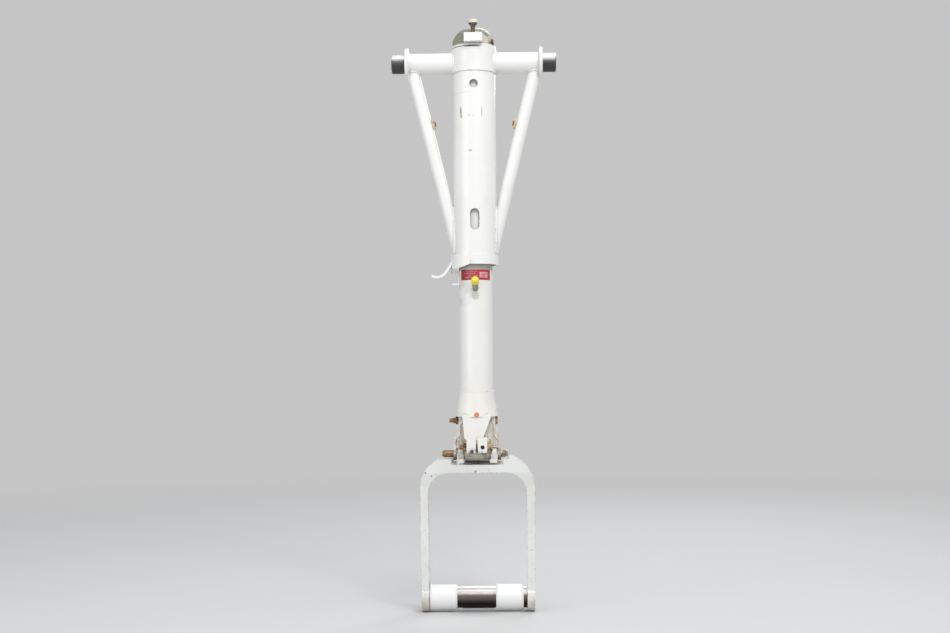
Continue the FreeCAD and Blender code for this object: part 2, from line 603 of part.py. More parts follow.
def make_tube_fittings():
    """Placard, side clevis, grease fitting and its cap, just below the housing."""
    film_r = spindle_r + PLACARD_GLUE
    placard_top = housing_foot_z - PLACARD_GAP
    placard_foot = placard_top - PLACARD_HEIGHT
    skin = pipe(film_r + PLACARD_THICK, film_r, Vector(0, 0, placard_foot), Vector(0, 0, placard_top))
    half = PLACARD_WIDTH / 2
    window = block(Vector(-half, -cut_reach, placard_foot), Vector(half, 0, placard_top))
    parts["limit_placard"] = skin.common(window)

    top = housing_foot_z - CLEVIS_GAP
    foot = top - CLEVIS_HEIGHT
    half = CLEVIS_WIDTH / 2
    web = pipe(spindle_r + CLEVIS_WEB, spindle_r, Vector(0, 0, foot), Vector(0, 0, top))
    web = web.common(block(Vector(-cut_reach, -half, foot), Vector(0, half, top)))
    tip = -CLEVIS_REACH + half
    clevis = web
    for level in (foot, top - CLEVIS_THICK):
        tab = block(Vector(tip, -half, level), Vector(0, half, level + CLEVIS_THICK))
        tab = tab.fuse(rod(half, Vector(tip, 0, level), Vector(tip, 0, level + CLEVIS_THICK)))
        clevis = clevis.fuse(tab.cut(rod(spindle_r, Vector(0, 0, foot), Vector(0, 0, top))))
    hole_foot = Vector(-CLEVIS_HOLE_X, 0, foot)
    clevis = clevis.cut(rod(CLEVIS_HOLE_D / 2, hole_foot, Vector(-CLEVIS_HOLE_X, 0, top)))
    parts["side_clevis"] = clevis.removeSplitter()

    root, along = fitting_line()
    stem_r = FITTING_STEM_D / 2
    inside = -FITTING_D * 0.7
    fitting_r = FITTING_D / 2
    outline = [(0, inside), (fitting_r, inside), (fitting_r, FITTING_NECK), (stem_r * 0.75, FITTING_NECK + 2)]
    outline += [(stem_r * 0.75, FITTING_LENGTH - CAP_GRIP - 1), (stem_r, FITTING_LENGTH - CAP_GRIP)]
    outline += [(stem_r, FITTING_LENGTH - 1), (stem_r * 0.5, FITTING_LENGTH), (0, FITTING_LENGTH)]
    parts["grease_fitting"] = turned(outline, root, along)
    cap_r = CAP_D / 2
    mouth = FITTING_LENGTH - CAP_GRIP
    bore_r = stem_r + RUNNING_FIT
    bore_end = FITTING_LENGTH + SIDE_PLAY
    outline = [(bore_r, mouth), (cap_r * 0.85, mouth), (cap_r, mouth + 1.5), (cap_r, mouth + CAP_LENGTH - 3)]
    outline += [(cap_r * 0.72, mouth + CAP_LENGTH), (0, mouth + CAP_LENGTH)]
    outline += [(0, bore_end), (bore_r, bore_end)]
    parts["grease_cap"] = turned(outline, root, along)


def make_shock_bracket():
    """Two ears on the back of the spindle for the head of the shock pack."""
    half_gap = SHOCK_BRACKET_GAP / 2
    outer_x = half_gap + SHOCK_BRACKET_THICK
    low = shock_z - SHOCK_BRACKET_HEIGHT / 2
    high = shock_z + SHOCK_BRACKET_HEIGHT / 2
    eye = Vector(0, SHOCK_BRACKET_Y, shock_z)
    ears = []
    for side in (-1, 1):
        near = side * half_gap
        far = side * outer_x
        taper = SHOCK_BRACKET_HEIGHT / 2 - SHOCK_BRACKET_R
        corners = [(0, low), (SHOCK_BRACKET_Y, low + taper), (SHOCK_BRACKET_Y, high - taper), (0, high)]
        ear = plate_yz(corners, near, far)
        ear = ear.fuse(rod(SHOCK_BRACKET_R, eye + ALONG_X * near, eye + ALONG_X * far))
        ears.append(ear)
    pad = pipe(spindle_r + SHOCK_BRACKET_THICK / 2, spindle_r, Vector(0, 0, low), Vector(0, 0, high))
    pad = pad.common(block(Vector(-outer_x, 0, low), Vector(outer_x, cut_reach, high)))
    bracket = pad.fuse(ears).cut(rod(spindle_r, Vector(0, 0, low), Vector(0, 0, high)))
    hole = rod(SHOCK_HOLE_D / 2, eye - ALONG_X * outer_x, eye + ALONG_X * outer_x)
    parts["shock_bracket"] = bracket.cut(hole).removeSplitter()


# ---------------------------------------------------------------- spindle foot
def make_foot():
    """Conical foot with its front web and split clamp."""
    lip_r = spindle_r + FOOT_LIP
    waist_z = foot_z - FOOT_CONE / 3
    waist_r = lip_r + (cone_r - lip_r) * 0.28
    outline = [(spindle_r, foot_z), (lip_r, foot_z), (waist_r, waist_z), (cone_r, cone_z), (0, cone_z)]
    outline += [(0, spindle_foot_z), (spindle_r, spindle_foot_z)]
    cone = turned(outline)

    clamp_top_z = pivot_z + CLAMP_RISE
    clamp_foot_z = pivot_z + CLAMP_SOLE
    half_top = WEB_TOP_WIDTH / 2
    half_waist = WEB_WAIST / 2
    corners = [(-half_top, cone_z + FOOT_FLOOR), (half_top, cone_z + FOOT_FLOOR), (half_top, cone_z)]
    half_tongue = half_waist * WEB_TONGUE
    step_z = clamp_top_z - WEB_STEP
    corners += [(half_tongue, clamp_top_z), (half_tongue, clamp_foot_z + CLAMP_SOLE)]
    corners += [(-half_tongue, clamp_foot_z + CLAMP_SOLE), (-half_tongue, step_z), (-half_waist, step_z)]
    corners += [(-half_waist * 1.2, clamp_top_z - WEB_STEP / 2), (-half_top, cone_z)]
    web = plate_xz(corners, -WEB_FRONT, -WEB_BACK)
    half_clamp = CLAMP_WIDTH / 2
    left_shoulder = [(-half_clamp, clamp_foot_z), (0, clamp_foot_z), (0, clamp_top_z), (-half_clamp, step_z)]
    left_jaw = plate_xz(left_shoulder, -WEB_FRONT, CLAMP_BACK)
    right_jaw = block(Vector(0, -CLAMP_FRONT, clamp_foot_z), Vector(half_clamp, CLAMP_BACK, clamp_top_z))
    core_low_z = pivot_z + CORE_RISE
    core_edge = [(x - CORE_GAP, z) for x, z in plate_inner_edge()]
    core_edge.append((core_edge[-1][0], core_low_z))
    other_edge = [(-x, z) for x, z in reversed(core_edge)]
    core = plate_xz(core_edge + other_edge, -WEB_BACK, CORE_DEPTH - WEB_BACK)
    foot = cone.fuse([web, left_jaw, right_jaw, core])
    spindle_end = Vector(0, 0, spindle_foot_z)
    foot = foot.cut(rod(spindle_r, spindle_end, spindle_end + UP * FOOT_CONE))
    barrel_ends = Vector(barrel_half + 1, 0, 0)
    pivot = Vector(0, 0, pivot_z)
    foot = foot.cut(rod(barrel_r, pivot - barrel_ends, pivot + barrel_ends))
    half_slit = CLAMP_SLIT / 2
    slit = [(-half_slit, clamp_foot_z - 1), (half_slit, clamp_foot_z - 1), (0.4, pivot_z + CLAMP_SLIT_RISE)]
    slit += [(-0.4, pivot_z + CLAMP_SLIT_RISE)]
    foot = foot.cut(plate_xz(slit, -cut_reach, 0))

    bolt_at = Vector(0, -CLAMP_BOLT_Y, pivot_z + CLAMP_BOLT_RISE)
    half = Vector(half_clamp + 1, 0, 0)
    foot = foot.cut(rod(CLAMP_BOLT_D / 2, bolt_at - half, bolt_at + half))
    through = Vector(eye_inner_x, 0, 0)
    foot_bolt_at = Vector(0, 0, foot_bolt_z)
    foot = foot.cut(rod(FOOT_BOLT_D / 2, foot_bolt_at - through, foot_bolt_at + through))
    port = Vector(CLAMP_PORT_X, -CLAMP_FRONT, bolt_at.z)
    foot = foot.cut(rod(CLAMP_PORT_D / 2, port, port - TO_FRONT * CLAMP_PORT_DEPTH))
    plug_at = Vector(0, 0, cone_z + PLUG_RISE)
    front_r = cone_r + PLUG_PROUD
    plug = rod(PLUG_D / 2, plug_at + TO_FRONT * spindle_r, plug_at + TO_FRONT * front_r)
    parts["foot_plug"] = plug
    nipple_root = Vector(-NIPPLE_X, -WEB_FRONT + NIPPLE_PROUD, clamp_foot_z + NIPPLE_RISE)
    nipple_r = NIPPLE_D / 2
    tip_r = nipple_r * 0.6
    outline = [(0, 0), (nipple_r, 0), (nipple_r, NIPPLE_PROUD * 1.4), (tip_r, NIPPLE_PROUD * 1.6)]
    outline += [(tip_r, NIPPLE_PROUD * 2), (0, NIPPLE_PROUD * 2)]
    nipple = turned(outline, nipple_root, TO_FRONT)
    parts["clamp_nipple"] = nipple
    parts["spindle_foot"] = foot.cut([plug, nipple]).removeSplitter()


def make_foot_bolts():
    """Bolt through the side plates and bolt through the split clamp."""
    side_x = PLATE_TOP_X + PLATE_THICK
    right = Vector(side_x, 0, foot_bolt_z)
    left = Vector(-side_x, 0, foot_bolt_z)
    tail = left - ALONG_X * (FOOT_NUT_HEIGHT + FOOT_BOLT_TAIL)
    head = hexagon(FOOT_BOLT_FLATS, FOOT_HEAD_HEIGHT, right, ALONG_X, FOOT_BOLT_FLATS * 0.05)
    parts["foot_bolt"] = head.fuse(rod(FOOT_BOLT_D / 2, right, tail))
    parts["foot_nut"] = castle_nut(FOOT_BOLT_FLATS, FOOT_NUT_HEIGHT, FOOT_BOLT_D / 2, left, -ALONG_X)

    half = CLAMP_WIDTH / 2
    level = pivot_z + CLAMP_BOLT_RISE
    right = Vector(half, -CLAMP_BOLT_Y, level)
    left = Vector(-half, -CLAMP_BOLT_Y, level)
    tail = left - ALONG_X * (CLAMP_NUT_HEIGHT + CLAMP_BOLT_TAIL)
    head = hexagon(CLAMP_BOLT_FLATS, CLAMP_HEAD_HEIGHT, right, ALONG_X, CLAMP_BOLT_FLATS * 0.05)
    parts["clamp_bolt"] = head.fuse(rod(CLAMP_BOLT_D / 2, right, tail))
    parts["clamp_nut"] = castle_nut(CLAMP_BOLT_FLATS, CLAMP_NUT_HEIGHT, CLAMP_BOLT_D / 2, left, -ALONG_X)


def plate_inner_edge():
    """Inner face of the right side plate from the cone down to its eye, as (x, z) points."""
    shoulder_z = foot_bolt_z - foot_bolt_room
    eye_z = pivot_z + PLATE_EYE_RISE
    jog_z = eye_z + PLATE_JOG
    return [(PLATE_TOP_X, cone_z), (PLATE_TOP_X, shoulder_z + 2), (PLATE_MID_X, shoulder_z),
            (PLATE_MID_X, jog_z - 2), (eye_inner_x, eye_z - 2)]


def make_side_plates():
    """Plates from the cone's underside out round the fork's ears to the ends of the pivot."""
    top_out = PLATE_TOP_X + PLATE_THICK
    mid_out = PLATE_MID_X + PLATE_THICK
    shoulder_z = foot_bolt_z - foot_bolt_room
    eye_z = pivot_z + PLATE_EYE_RISE
    jog_z = eye_z + PLATE_JOG
    corners = [(PLATE_TOP_X, cone_z), (top_out, cone_z), (top_out, shoulder_z), (mid_out, shoulder_z - 2)]
    corners += [(mid_out, jog_z), (eye_outer_x, eye_z), (eye_outer_x, pivot_z - PLATE_EYE_R - 1)]
    corners.append((eye_inner_x, pivot_z - PLATE_EYE_R - 1))
    corners += reversed(plate_inner_edge()[1:])
    half = PLATE_WIDTH / 2
    plate = plate_xz(corners, -half, half)
    reach = Vector(cut_reach, 0, 0)
    pivot = Vector(0, 0, pivot_z)
    side_view = block(Vector(0, -half, pivot_z), Vector(cut_reach, half, cone_z))
    side_view = side_view.fuse(rod(PLATE_EYE_R, pivot, pivot + reach))
    plate = plate.common(side_view)
    bolt = Vector(0, 0, foot_bolt_z)
    plate = plate.cut(rod(FOOT_BOLT_D / 2, bolt, bolt + reach))
    plate = plate.cut(rod(pin_r, pivot, pivot + reach))
    parts["side_plate_right"] = plate
    parts["side_plate_left"] = mirrored(plate)


def make_pivot():
    """Pivot pin with its barrel and washers."""
    pivot = Vector(0, 0, pivot_z)
    end = Vector(barrel_half, 0, 0)
    parts["pivot_barrel"] = pipe(barrel_r, pin_r, pivot - end, pivot + end)
    nose_r = PIN_NOSE_D / 2
    length = PIN_LEFT + PIN_RIGHT
    outline = [(0, 0), (nose_r, 0), (pin_r, PIN_TAPER), (pin_r, length - PIN_TAPER)]
    outline += [(nose_r, length), (0, length)]
    parts["pivot_pin"] = turned(outline, pivot - ALONG_X * PIN_LEFT, ALONG_X)
    inner = pipe(WASHER_D / 2, pin_r, pivot + end, pivot + end + ALONG_X * INNER_WASHER_THICK)
    start = pivot + ALONG_X * (ear_outer_x + SIDE_PLAY)
    outer = pipe(WASHER_D / 2, pin_r, start, pivot + ALONG_X * eye_inner_x)
    parts["inner_washers"] = Part.makeCompound([inner, mirrored(inner)])
    parts["outer_washers"] = Part.makeCompound([outer, mirrored(outer)])


# ---------------------------------------------------------------- fork and axle
def arch(half_width, foot_half_width, corner, top, foot):
    """Face of an arch in the XZ plane: upright legs, rounded shoulders, flat top."""
    low = top - corner
    slant = corner * math.sqrt(0.5)
    side = half_width - corner
    points = []
    for sign in (-1, 1):
        bottom = Vector(sign * foot_half_width, 0, foot)
        spring = Vector(sign * half_width, 0, low)
        middle = Vector(sign * (side + slant), 0, low + slant)
        crown = Vector(sign * side, 0, top)
        points.append((bottom, spring, middle, crown))
    left, right = points
    edges = [Part.makeLine(left[0], left[1]), Part.Arc(left[1], left[2], left[3]).toShape()]
    edges += [Part.makeLine(left[3], right[3]), Part.Arc(right[3], right[2], right[1]).toShape()]
    edges += [Part.makeLine(right[1], right[0]), Part.makeLine(right[0], left[0])]
    return Part.Face(Part.Wire(edges))


def make_fork_body():
    """Rounded arch, deep at the crossbar and slim down the legs, ending in round feet."""
    depth = FORK_DEPTH
    low = axle_z - FORK_FOOT_R
    outer = arch(leg_outer_x, foot_outer_x, FORK_OUTER_CORNER, fork_top_z, low - 1)
    inner = arch(FORK_INNER_WIDTH / 2, foot_inner_x, FORK_INNER_CORNER, fork_top_z - FORK_CROWN, low - 2)
    forward = Vector(0, depth, 0)
    back = Vector(0, -depth / 2, 0)
    outer.translate(back)
    inner.translate(back)
    body = outer.extrude(forward).cut(inner.extrude(forward))

    half = FORK_DEPTH / 2
    leg = FORK_LEG_DEPTH / 2
    neck_z = fork_top_z - FORK_NECK_DROP
    crown_z = fork_top_z - FORK_CROWN
    side = [(-half, fork_top_z + 1), (half, fork_top_z + 1), (half, crown_z), (leg, neck_z), (leg, axle_z)]
    side += [(-leg, axle_z), (-leg, neck_z), (-half, crown_z)]
    outer_x = leg_outer_x + 1
    side_view = plate_yz(side, -outer_x, outer_x)
    feet = rod(FORK_FOOT_R, Vector(-outer_x, 0, axle_z), Vector(outer_x, 0, axle_z))
    return body.common(side_view.fuse(feet))


def make_fork():
    """Fork with its pivot ears, reliefs, rear lug and bores."""
    body = make_fork_body()
    depth = Vector(0, FORK_DEPTH, 0)
    saddle_z = pivot_z - barrel_r - FORK_SADDLE_GAP
    relief_z = pivot_z - FORK_RELIEF_DROP
    groove_z = pivot_z - PLATE_EYE_R - FORK_GROOVE_GAP
    high = pivot_z + FORK_DEPTH
    reliefs = ((-FORK_RELIEF_LEFT, FORK_RELIEF_RIGHT, relief_z), (-ear_inner_x, ear_inner_x, saddle_z))
    for left_x, right_x, floor_z in reliefs:
        body = body.cut(block(Vector(left_x, -FORK_DEPTH, floor_z), Vector(right_x, FORK_DEPTH, high)))
    pivot = Vector(0, 0, pivot_z)
    bushes = []
    bush_r = pin_r + RUNNING_FIT + FORK_BUSH_WALL
    rim_r = EAR_R - EAR_ROUND
    ear_outline = [(0, 0), (rim_r, 0), (EAR_R, EAR_ROUND), (EAR_R, EAR_THICK - EAR_ROUND)]
    ear_outline += [(rim_r, EAR_THICK), (0, EAR_THICK)]
    for side in (-1, 1):
        near = side * ear_inner_x
        far = side * ear_outer_x
        groove_far = side * (eye_outer_x + SIDE_PLAY * 10)
        low_x = min(far, groove_far)
        high_x = max(far, groove_far)
        body = body.cut(block(Vector(low_x, -FORK_DEPTH, groove_z), Vector(high_x, FORK_DEPTH, high)))
        ear = turned(ear_outline, pivot + ALONG_X * near, ALONG_X * side)
        ear_foot = Vector(min(near, far), -EAR_R, saddle_z - 1)
        ear = ear.fuse(block(ear_foot, Vector(max(near, far), EAR_R, pivot_z)))
        body = body.fuse(ear)
        body = body.cut(rod(bush_r, pivot + ALONG_X * near, pivot + ALONG_X * far))
        bushes.append(pipe(bush_r, pin_r + RUNNING_FIT, pivot + ALONG_X * near, pivot + ALONG_X * far))
    parts["fork_bushes"] = Part.makeCompound(bushes)

    half = SHOCK_LUG_WIDTH / 2
    lug_at = Vector(0, SHOCK_LUG_Y, shock_lug_z)
    lug = rod(SHOCK_LUG_R, lug_at - ALONG_X * half, lug_at + ALONG_X * half)
    lug = lug.fuse(block(Vector(-half, 0, shock_lug_z - SHOCK_LUG_R), Vector(half, SHOCK_LUG_Y, shock_lug_z)))
    lug = lug.cut(rod(FORK_DEPTH / 2 + FORK_SADDLE_GAP, pivot - ALONG_X * half, pivot + ALONG_X * half))
    body = body.fuse(lug)
    body = body.cut(rod(SHOCK_HOLE_D / 2, lug_at - ALONG_X * half, lug_at + ALONG_X * half))

    reach = Vector(leg_outer_x + 1, 0, 0)
    axle = Vector(0, 0, axle_z)
    body = body.cut(rod(axle_r, axle - reach, axle + reach))
    pins = []
    for side in (-1, 1):
        pin_x = side * (foot_inner_x + foot_outer_x) / 2
        pin_foot = Vector(pin_x, 0, axle_z - FORK_FOOT_R + 1)
        pin_top = Vector(pin_x, 0, axle_z - axle_r + AXLE_WALL)
        pins.append(rod(LOCK_PIN_D / 2, pin_foot, pin_top))
        body = body.cut(rod(LOCK_PIN_D / 2, pin_foot - UP * 2, pin_top))
    parts["axle_lock_pins"] = Part.makeCompound(pins)
    parts["fork"] = body.removeSplitter()
    return pins


def make_axle(pins):
    """Axle tube with end plugs, centre sleeve and the two loose spacers."""
    end = Vector(foot_outer_x, 0, 0)
    axle = Vector(0, 0, axle_z)
    bore_r = axle_r - AXLE_WALL
    tube = pipe(axle_r, bore_r, axle - end, axle + end)
    parts["axle"] = tube.cut(pins)
    plug = rod(bore_r, axle + end - ALONG_X * AXLE_PLUG_LENGTH, axle + end)
    parts["axle_plugs"] = Part.makeCompound([plug, mirrored(plug)])
    left_at = axle - ALONG_X * (foot_inner_x - SPACER_LEFT_GAP)
    right_at = axle + ALONG_X * (foot_inner_x - SPACER_RIGHT_GAP - SPACER_LENGTH)
    sleeve_left = left_at + ALONG_X * (SPACER_LENGTH + SLEEVE_LEFT_ROOM)
    sleeve_right = right_at - ALONG_X * SLEEVE_RIGHT_ROOM
    parts["centre_sleeve"] = pipe(SLEEVE_TUBE_D / 2, axle_r, sleeve_left, sleeve_right)

    bore_r = axle_r + RUNNING_FIT
    body_r = SPACER_D / 2
    flange_r = SPACER_FLANGE_D / 2
    c = SPACER_CHAMFER
    outline = [(bore_r, 0), (body_r, 0), (flange_r, c * 0.6), (flange_r, SPACER_FLANGE - c)]
    outline += [(body_r, SPACER_FLANGE), (body_r, SPACER_LENGTH - c * 2)]
    outline += [(body_r - c, SPACER_LENGTH), (bore_r, SPACER_LENGTH)]
    parts["spacer_left"] = turned(outline, left_at, ALONG_X)
    parts["spacer_right"] = turned(outline, right_at, ALONG_X)


make_housing()
make_cross_frame()
make_link_arm()
make_spindle()
make_steering_head()
make_tube_fittings()
make_shock_bracket()
make_foot()
make_foot_bolts()
make_side_plates()
make_pivot()
make_axle(make_fork())

os.makedirs("parts", exist_ok=True)
for node, shape in parts.items():
    shape.exportStep("parts/" + node + ".step")
    print(node, len(shape.Solids), "solid(s)", round(shape.Volume), "mm3")
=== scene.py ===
import math

import bpy
from mathutils import Matrix, Vector


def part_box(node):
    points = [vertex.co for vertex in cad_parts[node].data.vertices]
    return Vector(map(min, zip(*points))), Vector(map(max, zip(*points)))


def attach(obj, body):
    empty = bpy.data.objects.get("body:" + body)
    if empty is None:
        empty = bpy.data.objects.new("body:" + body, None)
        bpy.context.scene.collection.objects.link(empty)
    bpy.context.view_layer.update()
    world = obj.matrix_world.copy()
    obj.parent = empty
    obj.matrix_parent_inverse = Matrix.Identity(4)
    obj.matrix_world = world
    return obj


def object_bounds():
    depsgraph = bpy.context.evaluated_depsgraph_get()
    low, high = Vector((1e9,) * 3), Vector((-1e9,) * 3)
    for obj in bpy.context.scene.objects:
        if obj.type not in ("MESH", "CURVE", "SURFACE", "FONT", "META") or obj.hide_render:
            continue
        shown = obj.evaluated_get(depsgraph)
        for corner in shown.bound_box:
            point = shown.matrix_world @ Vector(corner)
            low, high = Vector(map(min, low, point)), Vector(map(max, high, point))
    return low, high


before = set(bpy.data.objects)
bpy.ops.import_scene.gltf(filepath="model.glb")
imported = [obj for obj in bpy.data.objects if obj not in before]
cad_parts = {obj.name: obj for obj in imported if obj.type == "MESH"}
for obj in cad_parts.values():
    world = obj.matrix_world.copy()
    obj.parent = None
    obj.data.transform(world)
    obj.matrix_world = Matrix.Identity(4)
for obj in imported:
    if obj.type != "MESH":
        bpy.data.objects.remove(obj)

cad_low, cad_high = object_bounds()

MM = 0.001
UP = Vector((0, 0, 1))
ALONG_X = Vector((1, 0, 0))


# ---------------------------------------------------------------- sizes and settings
SADDLE_GAP = 0.8 * MM           # from the pivot barrel down to the fork's saddle
PORT_X = 8.6 * MM               # middle of the port in the foot's web
TUBE_SEAM_Z = -49.3 * MM        # seam round the upper part of the outer tube
TRUNNION_R = 14.3 * MM
AXLE_SHADE_R = 16.0 * MM        # over which the axle's painted highlight turns to painted shade
THREAD_PITCH = 1.3 * MM

FILLET_BEAD = 1.7 * MM          # radii of the weld beads: ends of cross tubes and braces
CROTCH_BEAD = 3.0 * MM          # between the braces' feet and the housing
SEAM_BEAD = 0.8 * MM            # round the housing, at the sleeve's edge and the ring
SPINDLE_BEAD = 0.9 * MM         # on the spindle: foot, clevis and bracket
RIPPLE_PITCH = 2.2 * MM
RIPPLE_DEPTH = 0.16             # as a share of a bead's radius
RIPPLE_STEPS = 5
BEAD_SIDES = 10
CIRCLE_POINTS = 96
BRACE_POINTS = 72
SEAM_LIFT = 0.2 * MM            # of a bead's middle above the tube it runs round
FOOT_LIFT = 0.3 * MM
BRACE_INSET = 3.3 * MM          # brace's axis inside the flange, at the leg's cross axis
BRACE_BURY = 8.1 * MM           # and under the housing's surface, at the ring's top
BRACE_SEARCH = 150 * MM         # start of the search for the cross tube, down the brace

FLOOR_REACH = 4.0
FLOOR_DROP = 0.5 * MM
FLOOR_FADE = (3.2, 0.5)         # where the floor has gone, and where it starts to fade
BACKDROP = (0.56, 0.56, 0.565, 1)
AMBIENT = (0.95, 0.97, 1.0, 1)
AMBIENT_STRENGTH = 0.55
LAMPS = (                       # name, place from the leg's centre, size and power
    ("key", (0.7, -2.0, 1.7), 1.3, 42),
    ("overhead", (0.1, -0.4, 2.1), 1.0, 10),
    ("left_fill", (-1.8, -1.6, 0.3), 1.4, 12),
    ("rear", (0.6, 1.9, 1.4), 1.4, 20),
)

CAMERA_DISTANCE = 2.166
CAMERA_HEIGHT = -0.4768
CAMERA_AZIMUTH = math.radians(1.3)
CAMERA_YAW = math.radians(0.045)
CAMERA_TILT = math.radians(2.405)
CAMERA_ROLL = math.radians(-0.53)
SENSOR_WIDTH = 36
FOCAL_LENGTH = 54.29
CLIP_START = 0.05


# ---------------------------------------------------------------- places taken from the solids
def half_width(node):
    """Half a node's width across the leg."""
    low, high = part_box(node)
    return (high.x - low.x) / 2


def middle(node):
    """Centre of a node's box."""
    low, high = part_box(node)
    return (low + high) / 2


def foot_of(node):
    """Height of a node's lowest point."""
    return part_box(node)[0].z


def top_of(node):
    """Height of a node's highest point."""
    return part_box(node)[1].z


housing_r = half_width("outer_tube")
housing_foot = foot_of("outer_tube")
sleeve_r = half_width("upper_sleeve")
sleeve_foot = foot_of("upper_sleeve")
sleeve_top = top_of("upper_sleeve")
ring_top = top_of("bearing_ring")
spindle_r = half_width("spindle_tube")
cross_r = top_of("cross_tube_right")
flange_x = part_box("trunnion_flange_right")[0].x
clevis_low, clevis_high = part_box("side_clevis")
bracket_low, bracket_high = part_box("shock_bracket")
foot_top = top_of("spindle_foot")
pivot = middle("pivot_barrel")
saddle_z = foot_of("pivot_barrel") - SADDLE_GAP
axle = middle("axle")
fitting_foot = foot_of("grease_fitting")
bolt_top = top_of("steering_bolt")
collar_top = top_of("steering_collar")
clamp_z = middle("clamp_bolt").z
placard_foot = foot_of("limit_placard")
placard_top = top_of("limit_placard")


# ---------------------------------------------------------------- node trees
class Value:
    """A socket that works in sums like a number."""

    def __init__(self, nodes, socket):
        self.nodes = nodes
        self.socket = socket

    def __add__(self, other):
        return self.nodes.math("ADD", self, other)

    def __radd__(self, other):
        return self.nodes.math("ADD", other, self)

    def __sub__(self, other):
        return self.nodes.math("SUBTRACT", self, other)

    def __rsub__(self, other):
        return self.nodes.math("SUBTRACT", other, self)

    def __mul__(self, other):
        return self.nodes.math("MULTIPLY", self, other)

    def __rmul__(self, other):
        return self.nodes.math("MULTIPLY", other, self)

    def __truediv__(self, other):
        return self.nodes.math("DIVIDE", self, other)

    def __rtruediv__(self, other):
        return self.nodes.math("DIVIDE", other, self)


class Nodes:
    """One node tree and the way nodes are added to it."""

    def __init__(self, tree):
        self.tree = tree
        tree.nodes.clear()

    def node(self, kind, settings=None, inputs=None):
        """Add a node, give it its settings, then its socket values or links."""
        made = self.tree.nodes.new(kind)
        for key, value in (settings or {}).items():
            setattr(made, key, value)
        for key, value in (inputs or {}).items():
            socket = made.inputs[key]
            value = value.socket if isinstance(value, Value) else value
            if isinstance(value, bpy.types.NodeSocket):
                self.tree.links.new(value, socket)
            else:
                socket.default_value = value
        return made

    def math(self, operation, *values):
        """Result of one sum."""
        made = self.node("ShaderNodeMath", {"operation": operation}, dict(enumerate(values)))
        return Value(self, made.outputs[0])


